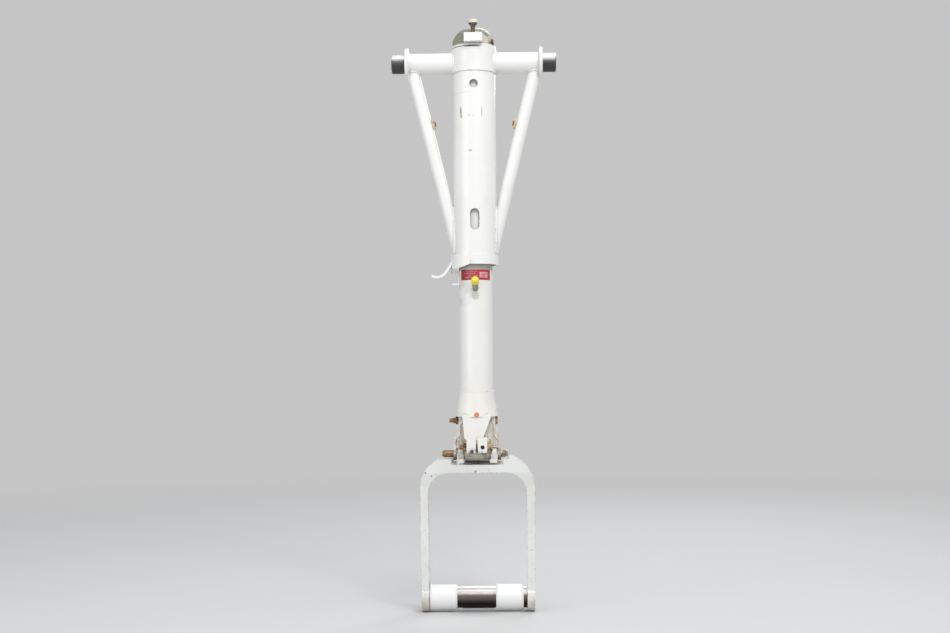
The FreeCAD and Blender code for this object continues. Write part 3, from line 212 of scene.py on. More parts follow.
class Finish(Nodes):
    """One material and the nodes that make it."""

    def __init__(self, name):
        self.material = bpy.data.materials.new(name)
        self.material.use_nodes = True
        super().__init__(self.material.node_tree)
        self.spot = self.node("ShaderNodeTexCoord").outputs["Object"]
        split = self.node("ShaderNodeSeparateXYZ", inputs={"Vector": self.spot})
        self.x = Value(self, split.outputs["X"])
        self.y = Value(self, split.outputs["Y"])
        self.z = Value(self, split.outputs["Z"])

    def step(self, value, start, end):
        """0 before start, 1 after end and smooth between them; end may be the lower one."""
        inputs = {"Value": value, "From Min": start, "From Max": end}
        made = self.node("ShaderNodeMapRange", {"interpolation_type": "SMOOTHSTEP"}, inputs)
        return Value(self, made.outputs["Result"])

    def band(self, value, low, high, soft):
        """1 between low and high, fading out over soft on both sides."""
        risen = self.step(value, low - soft, low + soft)
        return risen * (1 - self.step(value, high - soft, high + soft))

    def grain(self, scale, detail=3.0, stretch=(1, 1, 1), seed=0.0):
        """Noise about 0.5, its pattern stretched by dividing the place along each axis."""
        settings = {"operation": "MULTIPLY_ADD"}
        inputs = {0: self.spot, 1: stretch, 2: (seed, seed * 0.7, seed * 1.3)}
        place = self.node("ShaderNodeVectorMath", settings, inputs).outputs[0]
        inputs = {"Vector": place, "Scale": scale, "Detail": detail, "Roughness": 0.55}
        return Value(self, self.node("ShaderNodeTexNoise", inputs=inputs).outputs["Fac"])

    def patches(self, scale, low, high, detail=3.0, stretch=(1, 1, 1), seed=0.0):
        """Cloudy patches: 0 where the grain is under low and 1 where it is over high."""
        return self.step(self.grain(scale, detail, stretch, seed), low, high)

    def specks(self, scale, share, size, seed=0.0):
        """Small round specks in a share of the cells of a random grid."""
        inputs = {0: self.spot, 1: (seed, 0, seed)}
        place = self.node("ShaderNodeVectorMath", {"operation": "ADD"}, inputs)
        inputs = {"Vector": place.outputs[0], "Scale": scale}
        cells = self.node("ShaderNodeTexVoronoi", {"feature": "F1"}, inputs)
        pick = self.node("ShaderNodeSeparateColor", inputs={"Color": cells.outputs["Color"]})
        chosen = self.step(Value(self, pick.outputs["Red"]), 1 - share, 1 - share * 0.9)
        reach = Value(self, pick.outputs["Green"]) * size + size * 0.4
        near = 1 - self.step(Value(self, cells.outputs["Distance"]) / reach, 0.6, 1.0)
        return chosen * near

    def rounded(self, radius):
        """Normal with the sharp edges softened to a radius."""
        return self.node("ShaderNodeBevel", {"samples": 4}, {"Radius": radius}).outputs["Normal"]

    def edges(self, width):
        """1 on sharp edges and 0 on smooth faces."""
        flat = self.node("ShaderNodeNewGeometry").outputs["Normal"]
        inputs = {0: self.rounded(width), 1: flat}
        dot = self.node("ShaderNodeVectorMath", {"operation": "DOT_PRODUCT"}, inputs)
        return self.step(Value(self, dot.outputs["Value"]), 0.985, 0.90)

    def crevices(self, reach):
        """1 deep in corners and 0 on open faces."""
        inputs = {"Distance": reach}
        shade = self.node("ShaderNodeAmbientOcclusion", {"samples": 4}, inputs).outputs["AO"]
        return self.step(Value(self, shade), 0.85, 0.35)

    def blotch(self, centre, size, soft=0.35):
        """1 inside an upright oval on the front of the leg, its outline a little uneven."""
        across = (self.x - centre[0]) / size[0]
        height = (self.z - centre[1]) / size[1]
        reach = across * across + height * height + (self.grain(420, 2) - 0.5) * 1.2
        front = self.step(self.y, 4 * MM, -4 * MM)
        return (1 - self.step(reach, 1 - soft, 1 + soft)) * front

    def blend(self, first, second, factor):
        """Colour between two colours."""
        inputs = {"Factor": factor, 6: self.colour(first), 7: self.colour(second)}
        return self.node("ShaderNodeMix", {"data_type": "RGBA"}, inputs).outputs[2]

    @staticmethod
    def colour(value):
        """A plain (r, g, b) gets its alpha; a socket stays as it is."""
        return value if isinstance(value, bpy.types.NodeSocket) else (*value, 1.0)

    def done(self, colour, roughness, metallic=0.0, height=None, depth=0.1 * MM,
             round_edge=0.5 * MM, coat=0.0, alpha=1.0):
        """Close the material: colour, gloss, a fine bump and softened edges."""
        normal = self.rounded(round_edge)
        if height is not None:
            inputs = {"Height": height, "Distance": depth, "Normal": normal}
            normal = self.node("ShaderNodeBump", inputs=inputs).outputs["Normal"]
        inputs = {"Base Color": self.colour(colour), "Roughness": roughness, "Metallic": metallic,
                  "Coat Weight": coat, "Alpha": alpha, "Normal": normal}
        shader = self.node("ShaderNodeBsdfPrincipled", inputs=inputs)
        self.node("ShaderNodeOutputMaterial", inputs={"Surface": shader.outputs["BSDF"]})
        return self.material


# ---------------------------------------------------------------- paint and what marks it
WHITE = (0.80, 0.80, 0.78)
AGED_WHITE = (0.74, 0.73, 0.68)
SMUDGE = (0.42, 0.41, 0.38)
CORNER_GRIME_AND_SHADE = (0.34, 0.28, 0.20)
RUST = (0.33, 0.13, 0.04)
DARK_RUST = (0.10, 0.05, 0.03)
GOLDEN_RUST = (0.42, 0.24, 0.08)
WASHER_GAP_SHADE = (0.12, 0.06, 0.03)
RUST_STREAK = (0.40, 0.22, 0.10)
RUST_SPOT = (0.36, 0.24, 0.14)
RUST_RUN = (0.20, 0.13, 0.07)
SCRATCH_GREY = (0.30, 0.27, 0.24)
NICK_GREY = (0.13, 0.12, 0.11)
SCUFF_GREY = (0.36, 0.34, 0.31)
RUN_GREY = (0.50, 0.48, 0.42)
WORN_FOOT = (0.47, 0.41, 0.33)
GAP_SHADE = (0.035, 0.026, 0.020)
DARK_SHADE = (0.06, 0.05, 0.04)
GREASE_FILM = (0.40, 0.38, 0.30)
GREASE_HAZE = (0.47, 0.44, 0.37)
FITTING_SHADOW = (0.40, 0.39, 0.34)
GREASE_WIPE = (0.22, 0.20, 0.165)
SADDLE_SHADOW = (0.07, 0.055, 0.04)
GROOVE_GREASE_AND_SHADE = (0.24, 0.19, 0.12)
OLD_GREASE = (0.55, 0.49, 0.37)
RECESS_GREASE_AND_SHADE = (0.38, 0.34, 0.26)
SEAT_DIRT = (0.16, 0.13, 0.10)

TUBE_SCRATCHES = (              # across and up, half sizes (mm), tone and strength
    ((-19.5, -78.0), (1.3, 7.0), SCRATCH_GREY, 0.9),
    ((-19.2, -85.0), (1.2, 3.2), RUST_STREAK, 0.8),
    ((11.8, -79.0), (0.8, 8.5), SCRATCH_GREY, 0.55),
    ((-7.0, -84.8), (1.3, 1.2), SCRATCH_GREY, 0.6),
    ((-0.5, -85.5), (1.1, 1.1), SCRATCH_GREY, 0.5),
    ((-5.8, -137.7), (2.6, 1.4), RUST_SPOT, 0.75),
    ((-1.0, -296.0), (1.2, 1.0), SCRATCH_GREY, 0.5),
    ((5.2, -296.5), (1.2, 1.0), SCRATCH_GREY, 0.45),
)


def painted(name, base=WHITE, aged=AGED_WHITE, wear=0.3, dirt=0.5, extra=None):
    """Gloss enamel over steel, with smudges, brown grime and painted shade in the corners, and
    chipped edges.
    """
    f = Finish(name)
    cloud = f.patches(14, 0.42, 0.72, detail=4)
    colour = f.blend(base, aged, cloud * 0.6)
    tall = f.patches(60, 0.62, 0.78, stretch=(9, 9, 1))
    streaks = tall * f.patches(9, 0.5, 0.66, detail=2, seed=3.1)
    colour = f.blend(colour, SMUDGE, streaks * 0.28)
    # brown grime blended in where ambient occlusion finds corners, which also paints their shade
    corner = f.crevices(8 * MM)
    colour = f.blend(colour, CORNER_GRIME_AND_SHADE, corner * f.patches(90, 0.35, 0.7, seed=1.7) * dirt)
    colour = f.blend(colour, DARK_RUST, f.specks(75, 0.16, 0.055) * 0.7)
    if extra:
        colour = extra(f, colour)
    chip_level = 0.64 - wear * 0.2
    chip = f.edges(1.2 * MM) * f.patches(240, chip_level, chip_level + 0.08, seed=5.2)
    colour = f.blend(colour, f.blend(DARK_RUST, RUST, f.grain(500, 2)), chip)
    roughness = 0.28 + cloud * 0.10 + chip * 0.4 + corner * 0.25
    peel = f.grain(650, 2) * 0.5 - chip * 1.5 + f.grain(60, 2) * 0.6
    return f.done(colour, roughness, height=peel, depth=0.12 * MM, coat=0.15)


def tube_marks(f, colour):
    """Scratches and rust spots on the front of the outer tube, and its seam."""
    for centre, size, tone, strength in TUBE_SCRATCHES:
        centre = [value * MM for value in centre]
        size = [value * MM for value in size]
        colour = f.blend(colour, tone, f.blotch(centre, size) * strength)
    seam = f.band(f.z, TUBE_SEAM_Z - 0.3 * MM, TUBE_SEAM_Z + 0.3 * MM, 0.3 * MM)
    return f.blend(colour, SMUDGE, seam * f.step(f.x, 4 * MM, -16 * MM) * 0.55)


def sleeve_marks(f, colour):
    """Brown line of painted shade under the thrust washer, a painted shadow under the lug, and a
    few grey dents.
    """
    # painted shade: a rust-brown line in the gap under the thrust washer
    line = f.band(f.z, sleeve_top - 1.3 * MM, sleeve_top + 1 * MM, 0.3 * MM)
    line = line * f.patches(60, 0.20, 0.40, seed=1.1) * f.step(f.x, 22 * MM, -4 * MM)
    colour = f.blend(colour, WASHER_GAP_SHADE, line * 0.85)
    # painted shadow cast by the steering lug on the front of the sleeve
    lug_shadow = f.band(f.z, sleeve_top - 2.2 * MM, sleeve_top + 1 * MM, 0.6 * MM)
    lug_shadow = lug_shadow * f.band(f.x, -12 * MM, 8 * MM, 4.5 * MM)
    colour = f.blend(colour, GAP_SHADE, lug_shadow * f.step(f.y, -10 * MM, -15 * MM) * 0.92)
    return f.blend(colour, SMUDGE, f.specks(60, 0.22, 0.09, seed=6.4) * 0.6)


def lug_marks(f, colour):
    """Golden rust that bleeds round the lugs' screws, and dark rust with painted shade in their
    corners.
    """
    bleed = f.patches(150, 0.34, 0.58, detail=4, seed=3.9)
    colour = f.blend(colour, GOLDEN_RUST, bleed * 0.75)
    # dark rust and painted shade in the lugs' corners, found by ambient occlusion
    return f.blend(colour, DARK_RUST, f.crevices(3 * MM) * 0.7)


def spindle_marks(f, colour):
    """Grease film under the housing and a painted shadow below the grease fitting."""
    film = f.band(f.z, housing_foot - 8.5 * MM, housing_foot + 2 * MM, 1.2 * MM)
    colour = f.blend(colour, GREASE_FILM, film * 0.7)
    below = f.band(f.z, housing_foot - 60 * MM, housing_foot - 22 * MM, 8 * MM)
    haze = below * f.patches(55, 0.42, 0.7, detail=4, seed=8.0) * f.step(f.x, 20 * MM, -20 * MM)
    colour = f.blend(colour, GREASE_HAZE, haze * 0.5)
    # painted shadow of the grease fitting on the spindle below it
    fitting_shadow = f.blotch((0, fitting_foot - 4 * MM), (5.5 * MM, 6 * MM), 0.8)
    colour = f.blend(colour, FITTING_SHADOW, fitting_shadow * 0.55)
    dots = f.specks(260, 0.35, 0.12, seed=2.0) * below * f.step(f.x, 4 * MM, -12 * MM)
    return f.blend(colour, DARK_RUST, dots * 0.6)


def foot_marks(f, colour):
    """Old grease and rust beside the web and on the side plates, grease and painted shade on the
    recessed faces, and painted shade in the port.
    """
    low = f.step(f.z, pivot.z + 70 * MM, pivot.z + 30 * MM)
    off_web = f.step(f.x * f.x, (12.5 * MM) ** 2, (17 * MM) ** 2)
    beside = low * off_web * f.step(f.y, -20 * MM, -10 * MM)
    smear = beside * f.patches(75, 0.40, 0.58, 4, (1.6, 1, 0.7), 4.0)
    colour = f.blend(colour, OLD_GREASE, smear * 0.6)
    runs = beside * f.patches(150, 0.55, 0.66, 3, (1.6, 1.6, 0.4), 6.0)
    colour = f.blend(colour, RUST_RUN, runs * 0.75)
    # grease patches and painted shade on the faces set back behind the front
    deep = low * f.step(f.y, -11.5 * MM, -8.5 * MM) * f.patches(90, 0.30, 0.6, seed=9.9)
    colour = f.blend(colour, RECESS_GREASE_AND_SHADE, deep * 0.25)
    seat = f.step(f.z, pivot.z + 10.5 * MM, pivot.z + 3.5 * MM)
    colour = f.blend(colour, SEAT_DIRT, seat * f.patches(160, 0.36, 0.6, seed=2.8) * 0.8)
    # near-black painted shade filling the port in the web
    port = f.blotch((PORT_X, clamp_z), (3.2 * MM, 3.2 * MM), 0.25)
    colour = f.blend(colour, DARK_SHADE, port)
    return f.blend(colour, RUST, f.specks(170, 0.30, 0.16, seed=5.0) * low * 0.5)


def fork_marks(f, colour):
    """Dark nicks on the shoulders, painted shadow under the barrel in the saddle, grease and
    painted shade in the ear grooves, and bare worn feet.
    """
    shoulders = f.band(f.z, pivot.z - 50 * MM, pivot.z + 4 * MM, 6 * MM)
    nicks = f.specks(105, 0.30, 0.17, seed=7.0) * shoulders
    colour = f.blend(colour, NICK_GREY, nicks * 0.85)
    # painted shadow: a dark line on the saddle under the barrel, between the ears
    under = f.band(f.z, saddle_z - 1.2 * MM, saddle_z + 2 * MM, 0.6 * MM)
    under = under * f.band(f.x, -31 * MM, 31 * MM, 4 * MM)
    under = under * f.patches(110, 0.25, 0.5, detail=4, seed=2.4)
    colour = f.blend(colour, SADDLE_SHADOW, under * 0.9)
    # brown grease and painted shade in the grooves beside the ears
    groove = f.band(f.z, pivot.z - 15.5 * MM, pivot.z - 7.5 * MM, 1.2 * MM)
    groove = groove * f.band(f.x * f.x, (30 * MM) ** 2, (39 * MM) ** 2, (10 * MM) ** 2)
    groove = groove * f.patches(130, 0.25, 0.5, detail=4, seed=5.4)
    colour = f.blend(colour, GROOVE_GREASE_AND_SHADE, groove * 0.85)
    feet = f.step(f.z, axle.z + 16 * MM, axle.z - 12 * MM)
    feet = feet * f.patches(60, 0.36, 0.62, detail=4, seed=9.3)
    colour = f.blend(colour, WORN_FOOT, feet * 0.7)
    legs = f.step(f.z, pivot.z - 35 * MM, pivot.z - 60 * MM)
    runs = f.patches(80, 0.58, 0.72, stretch=(5, 5, 1), seed=3.3) * legs
    colour = f.blend(colour, RUN_GREY, runs * 0.55)
    scuffs = f.patches(130, 0.60, 0.70, detail=4, seed=1.2) * legs
    return f.blend(colour, SCUFF_GREY, scuffs * 0.5)


def barrel_marks(f, colour):
    """Dark grease wiped along the barrel, and painted shade on its underside."""
    wiped = f.patches(95, 0.51, 0.62, 4, (0.6, 1.5, 1.5), 4.2)
    colour = f.blend(colour, GREASE_WIPE, wiped * 0.75)
    # painted shade darkening the barrel's underside
    underside_shade = f.step(f.z, pivot.z - 8.5 * MM, pivot.z - 13.5 * MM)
    return f.blend(colour, DARK_SHADE, underside_shade * 0.75)


# ---------------------------------------------------------------- steel and what marks it
TOP_HIGHLIGHT = (0.80, 0.77, 0.75)
RUBBED_HEAD = (0.58, 0.41, 0.26)
CROWN_HIGHLIGHT = (0.66, 0.65, 0.57)
CORNER_RUST = (0.30, 0.16, 0.08)
PIN_RUST = (0.24, 0.12, 0.055)
SHADED_DARK_SHANK = (0.055, 0.036, 0.026)


def steel(name, base, stain, roughness, metallic, stain_share=0.5, rings=0.0, pits=0.3,
          extra=None, thread=0.0):
    """Bare or plated steel: stains, pits and, along X, turning rings or a thread."""
    f = Finish(name)
    cloud = f.grain(90, 5)
    stained = f.step(cloud, 0.78 - stain_share * 0.5, 0.92 - stain_share * 0.5)
    colour = f.blend(base, stain, stained)
    fine = f.grain(700, 3, seed=1.3)
    colour = f.blend(colour, [tone * 0.45 for tone in base], f.step(fine, 0.55, 0.8) * 0.5)
    if extra:
        colour = extra(f, colour)
    polish = f.edges(0.8 * MM) * f.patches(300, 0.4, 0.6, detail=2, seed=4.4)
    colour = f.blend(colour, [min(1.0, tone * 2.2 + 0.08) for tone in base], polish * 0.6)
    height = fine * pits + cloud * pits
    if rings:
        height = height + f.grain(60, 1, (60, 1, 1)) * rings
    if thread:
        wave = f.math("SINE", f.x * (2 * math.pi / thread))
        height = height + wave * f.step(f.x, -16 * MM, -18 * MM) * 2.5
    gloss = stained * 0.25 + fine * 0.12 + (roughness - 0.06)
    return f.done(colour, gloss, metallic - stained * metallic * 0.5, height, 0.15 * MM)


def lit_top_shaded_bottom(centre_z, radius, shade, rubbed):
    """Painted light on a blackened shaft: painted shade below, and a painted highlight above
    rubbed, a share of its radius.
    """
    def marks(f, colour):
        uneven = (f.grain(45, 3, (0.2, 1, 1), seed=4.8) - 0.5) * 0.25
        height = (f.z - centre_z) / radius + uneven
        # painted shade on the lower side, then a painted highlight on the top
        colour = f.blend(shade, colour, f.step(height, -0.5, 0.35))
        return f.blend(colour, TOP_HIGHLIGHT, f.step(height, rubbed, rubbed + 0.6))
    return marks


def head_marks(f, colour):
    """Paler, rubbed head of the clamp bolt, which shares its finish with the foot's bolt."""
    head = f.step(f.x, 8 * MM, 12 * MM) * f.step(f.z, clamp_z + 12 * MM, clamp_z + 8 * MM)
    return f.blend(colour, RUBBED_HEAD, head * f.patches(160, 0.30, 0.55, seed=2.5) * 0.85)


def collar_marks(f, colour):
    """Painted highlight on the collar's crown and rust at its right-hand corner."""
    # painted highlight along the collar's crown
    crown = f.step(f.z, collar_top - 6.5 * MM, collar_top - 2.5 * MM)
    colour = f.blend(colour, CROWN_HIGHLIGHT, crown * 0.7)
    right = f.step(f.x, 23 * MM, 29 * MM) * f.patches(130, 0.40, 0.58, detail=4, seed=7.7)
    return f.blend(colour, CORNER_RUST, right * 0.8)


def bolt_marks(f, colour):
    """Dark shank, and painted shade under the head, below a clean pale crown."""
    # dark brown shank and painted shade on the underside of the head
    neck = f.step(f.z, bolt_top - 4.6 * MM, bolt_top - 6.2 * MM)
    return f.blend(colour, SHADED_DARK_SHANK, neck * 0.92)


def pin_marks(f, colour):
    """Brown rust on the left half of the pivot pin."""
    left = f.step(f.x, -30 * MM, -36 * MM) * f.patches(120, 0.28, 0.55, detail=4, seed=3.6)
    return f.blend(colour, PIN_RUST, left * 0.85)


# ---------------------------------------------------------------- placard, plastic and floor
PLACARD_SHADOWED = (0.26, 0.010, 0.022)
PLACARD_RED = (0.52, 0.028, 0.055)
PLACARD_PALE = (0.72, 0.55, 0.53)
PLACARD_BAR_RED = (0.45, 0.04, 0.06)
FLOOR_PALE = (0.60, 0.60, 0.60)
FLOOR_DEEP = (0.585, 0.585, 0.585)

PALE_BARS = (                   # height as a share of the placard's, start and end (mm)
    (0.84, -15.0, 3.0),
    (0.64, -17.0, 1.0),
    (0.44, -13.0, 3.5),
    (0.24, -16.0, -4.0),
)
FIELD_BARS = (0.36, 0.50, 0.64)


def placard():
    """Crimson placard, its left part darker under a painted shadow, with plain pale bars and one
    framed field.
    """
    f = Finish("placard")
    # painted shadow: the placard goes darker towards its left, with a random mottle
    fade = f.step(f.x, -12 * MM, -2 * MM) * 0.55 + f.grain(120, 4) * 0.3
    colour = f.blend(PLACARD_SHADOWED, PLACARD_RED, fade)
    height = placard_top - placard_foot

    def bar(share, start, end, half_height, soft):
        level = placard_foot + height * share
        tall = f.band(f.z, level - half_height, level + half_height, 0.2 * MM)
        return tall * f.band(f.x, start, end, soft)

    worn = f.patches(420, 0.36, 0.60, detail=4, seed=2.2)
    for share, start, end in PALE_BARS:
        mask = bar(share, start * MM, end * MM, 0.7 * MM, 0.6 * MM)
        colour = f.blend(colour, PLACARD_PALE, mask * worn * 0.42)
    field = f.band(f.x, 6.2 * MM, 18.2 * MM, 0.4 * MM)
    field_foot = placard_foot + height * 0.22
    field_top = placard_foot + height * 0.78
    field = field * f.band(f.z, field_foot, field_top, 0.4 * MM)
    colour = f.blend(colour, PLACARD_PALE, field * (0.35 + worn * 0.45))
    for share in FIELD_BARS:
        mask = bar(share, 8 * MM, 16.5 * MM, 0.5 * MM, 0.5 * MM)
        colour = f.blend(colour, PLACARD_BAR_RED, mask * 0.7)
    return f.done(colour, 0.42, height=f.grain(300, 3), depth=0.05 * MM, round_edge=0.1 * MM)


def moulded(name, base, shade, roughness):
    """Plain moulded plastic, a little dusty, with grime and painted shade in its corners."""
    f = Finish(name)
    dust = f.patches(260, 0.42, 0.72, detail=4)
    colour = f.blend(base, shade, dust * 0.5)
    # grime and painted shade where ambient occlusion finds corners
    colour = f.blend(colour, CORNER_GRIME_AND_SHADE, f.crevices(3 * MM) * 0.5)
    return f.done(colour, roughness + dust * 0.15, height=f.grain(900, 2), depth=0.06 * MM)


def plain_floor():
    """Pale matt floor that fades into the backdrop away from the leg."""
    f = Finish("studio_floor")
    colour = f.blend(FLOOR_PALE, FLOOR_DEEP, f.grain(6, 3))
    far = f.math("SQRT", f.x * f.x + f.y * f.y)
    return f.done(colour, 0.9, alpha=f.step(far, *FLOOR_FADE))


# ---------------------------------------------------------------- finishes of the solids
NUT_STEEL = {"base": (0.40, 0.24, 0.11), "stain": (0.09, 0.045, 0.02), "roughness": 0.55,
             "metallic": 0.5, "stain_share": 0.75, "pits": 0.9}

finishes = {
    "white_paint": painted("white_enamel"),
    "tube_paint": painted("tube_enamel", extra=tube_marks),
    "sleeve_paint": painted("sleeve_enamel", extra=sleeve_marks),
    "lug_paint": painted("lug_enamel", base=(0.66, 0.60, 0.48), wear=0.9, dirt=0.9,
                         extra=lug_marks),
    "spindle_paint": painted("spindle_enamel", base=(0.78, 0.78, 0.75), extra=spindle_marks),
    "foot_paint": painted("greasy_enamel", base=(0.80, 0.79, 0.76), aged=(0.70, 0.67, 0.60),
                          wear=0.6, dirt=0.8, extra=foot_marks),
    "fork_paint": painted("chipped_enamel", base=(0.72, 0.73, 0.71), aged=(0.63, 0.63, 0.59),
                          wear=0.8, dirt=0.7, extra=fork_marks),
    "barrel_paint": painted("greasy_barrel", base=(0.70, 0.67, 0.58), aged=(0.54, 0.50, 0.42),
                            wear=0.5, dirt=0.25, extra=barrel_marks),
    "spacer_paint": painted("spacer_enamel", base=(0.82, 0.82, 0.81), aged=(0.79, 0.78, 0.76),
                            wear=0.05, dirt=0.3),
    # the axle and trunnion pins get painted shade below and a painted highlight on top
    "dark_steel": steel("blackened_axle", base=(0.20, 0.17, 0.155), stain=(0.10, 0.08, 0.07),
                        roughness=0.32, metallic=0.9, stain_share=0.35, rings=0.5,
                        extra=lit_top_shaded_bottom(axle.z, AXLE_SHADE_R, (0.020, 0.015, 0.012), 0.35)),
    "trunnion_steel": steel("blackened_trunnion", base=(0.14, 0.135, 0.13),
                            stain=(0.07, 0.065, 0.06), roughness=0.34, metallic=0.35,
                            stain_share=0.35, rings=0.5,
                            extra=lit_top_shaded_bottom(0.0, TRUNNION_R, (0.045, 0.043, 0.041), 0.05)),
    "worn_steel": steel("worn_steel", base=(0.42, 0.38, 0.33), stain=(0.20, 0.13, 0.08),
                        roughness=0.42, metallic=0.8, rings=0.3, extra=pin_marks),
    "rusty_steel": steel("rusty_steel", **NUT_STEEL),
    "threaded_steel": steel("threaded_steel", **NUT_STEEL, extra=head_marks,
                            thread=THREAD_PITCH),
    "nipple_steel": steel("nipple_steel", base=(0.12, 0.09, 0.07), stain=(0.05, 0.035, 0.03),
                          roughness=0.6, metallic=0.5, stain_share=0.6),
    "plated_steel": steel("plated_steel", base=(0.33, 0.33, 0.27), stain=(0.19, 0.18, 0.14),
                          roughness=0.40, metallic=0.6, stain_share=0.35,
                          extra=collar_marks),
    "bolt_steel": steel("bolt_steel", base=(0.72, 0.66, 0.55), stain=(0.46, 0.36, 0.26),
                        roughness=0.45, metallic=0.3, stain_share=0.3, extra=bolt_marks),
    "bronze": steel("bush_bronze", base=(0.46, 0.29, 0.12), stain=(0.22, 0.13, 0.06),
                    roughness=0.40, metallic=0.9, stain_share=0.4, rings=0.5),
    "seal_rubber": moulded("seal_rubber", (0.025, 0.025, 0.025), (0.06, 0.055, 0.05), 0.6),
    "placard_red": placard(),
    "cap_yellow": moulded("cap_plastic", (0.80, 0.70, 0.02), (0.66, 0.58, 0.08), 0.35),
    "plug_orange": moulded("plug_paint", (0.85, 0.20, 0.045), (0.70, 0.24, 0.10), 0.4),
}
OWN_FINISH = {                  # nodes that depart from their slot's finish
    "outer_tube": "tube_paint",
    "upper_sleeve": "sleeve_paint",
    "trunnion_pin_left": "trunnion_steel",
    "trunnion_pin_right": "trunnion_steel",
    "brace_lugs": "lug_paint",
    "spindle_tube": "spindle_paint",
    "thrust_washer": "white_paint",
    "pivot_barrel": "barrel_paint",
    "clamp_nipple": "nipple_steel",
    "foot_bolt": "threaded_steel",
    "clamp_bolt": "threaded_steel",
}

for node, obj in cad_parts.items():
    for slot in obj.material_slots:
        slot.material = finishes[OWN_FINISH.get(node, slot.material.name)]


# ---------------------------------------------------------------- weld beads
def bead_tree():
    """Geometry Nodes: sweep a round, rippled bead along the object's edges."""
    tree = bpy.data.node_groups.new("weld_bead", "GeometryNodeTree")
    face = tree.interface
    face.new_socket("Path", in_out="INPUT", socket_type="NodeSocketGeometry")
    defaults = {"Bead Radius": FILLET_BEAD, "Ripple Pitch": RIPPLE_PITCH,
                "Ripple Depth": RIPPLE_DEPTH}
    for name, default in defaults.items():
        socket = face.new_socket(name, in_out="INPUT", socket_type="NodeSocketFloat")
        socket.default_value = default
    face.new_socket("Paint", in_out="INPUT", socket_type="NodeSocketMaterial")
    face.new_socket("Bead", in_out="OUTPUT", socket_type="NodeSocketGeometry")

    made = Nodes(tree)
    group = made.node("NodeGroupInput").outputs
    pitch = Value(made, group["Ripple Pitch"])
    curve = made.node("GeometryNodeMeshToCurve", inputs={"Mesh": group["Path"]}).outputs["Curve"]
    inputs = {"Curve": curve, "Length": pitch / RIPPLE_STEPS}
    fine = made.node("GeometryNodeResampleCurve", {"mode": "LENGTH"}, inputs).outputs[0]
    length = Value(made, made.node("GeometryNodeSplineParameter").outputs["Length"])
    wave = made.math("FRACT", length / pitch)
    swell = 1 - wave * wave * Value(made, group["Ripple Depth"])
    inputs = {"Resolution": BEAD_SIDES, "Radius": group["Bead Radius"]}
    profile = made.node("GeometryNodeCurvePrimitiveCircle", inputs=inputs).outputs["Curve"]
    inputs = {"Curve": fine, "Profile Curve": profile, "Scale": swell, "Fill Caps": True}
    swept = made.node("GeometryNodeCurveToMesh", inputs=inputs).outputs["Mesh"]
    smooth = made.node("GeometryNodeSetShadeSmooth", inputs={0: swept}).outputs[0]
    real = made.node("GeometryNodeRealizeInstances", inputs={0: smooth}).outputs[0]
    inputs = {"Geometry": real, "Material": group["Paint"]}
    bead = made.node("GeometryNodeSetMaterial", inputs=inputs).outputs[0]
    made.node("NodeGroupOutput", inputs={"Bead": bead})
    return tree


WELD_BEAD = bead_tree()


def beads(name, body, paths, radius, finish):
    """Weld beads of one body as one mesh; each path is (points, closed)."""
    corners, edges = [], []
    for points, closed in paths:
        first = len(corners)
        corners += [tuple(point) for point in points]
        edges += [(first + i, first + i + 1) for i in range(len(points) - 1)]
        if closed:
            edges.append((first + len(points) - 1, first))
    line = bpy.data.meshes.new(name + "_line")
    line.from_pydata(corners, edges, [])
    obj = bpy.data.objects.new(name, line)
    bpy.context.scene.collection.objects.link(obj)
    modifier = obj.modifiers.new("bead", "NODES")
    modifier.node_group = WELD_BEAD
    given = {"Bead Radius": radius, "Paint": finishes[finish]}
    for item in WELD_BEAD.interface.items_tree:
        if item.in_out == "INPUT" and item.name in given:
            modifier[item.identifier] = given[item.name]
    bpy.context.view_layer.update()
    graph = bpy.context.evaluated_depsgraph_get()
    mesh = bpy.data.meshes.new_from_object(obj.evaluated_get(graph))
    mesh.name = name
    obj.modifiers.remove(modifier)
    obj.data = mesh
    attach(obj, body)


def circle(radius, centre, along):
    """Closed path round a circle."""
    turn = UP.rotation_difference(along)
    points = []
    for step in range(CIRCLE_POINTS):
        angle = 2 * math.pi * step / CIRCLE_POINTS
        spoke = Vector((radius * math.cos(angle), radius * math.sin(angle), 0))
        points.append(centre + turn @ spoke)
    return points, True


def cross_tube_joint(side):
    """Closed path where a cross tube enters the upper sleeve."""
    points, closed = circle(cross_r, Vector((0, 0, 0)), ALONG_X)
    for point in points:
        point.x = side * math.sqrt(sleeve_r ** 2 - point.y ** 2)
    return points, closed


def reach_of(start, along, host_r, host_axis):
    """How far a line runs before it enters a round tube through the origin, if it does."""
    flat_start = start - host_axis * start.dot(host_axis)
    flat_along = along - host_axis * along.dot(host_axis)
    a = flat_along.length_squared
    b = flat_start.dot(flat_along)
    c = flat_start.length_squared - host_r ** 2
    inside = b * b - a * c
    return (-b - math.sqrt(inside)) / a if inside > 0 else None


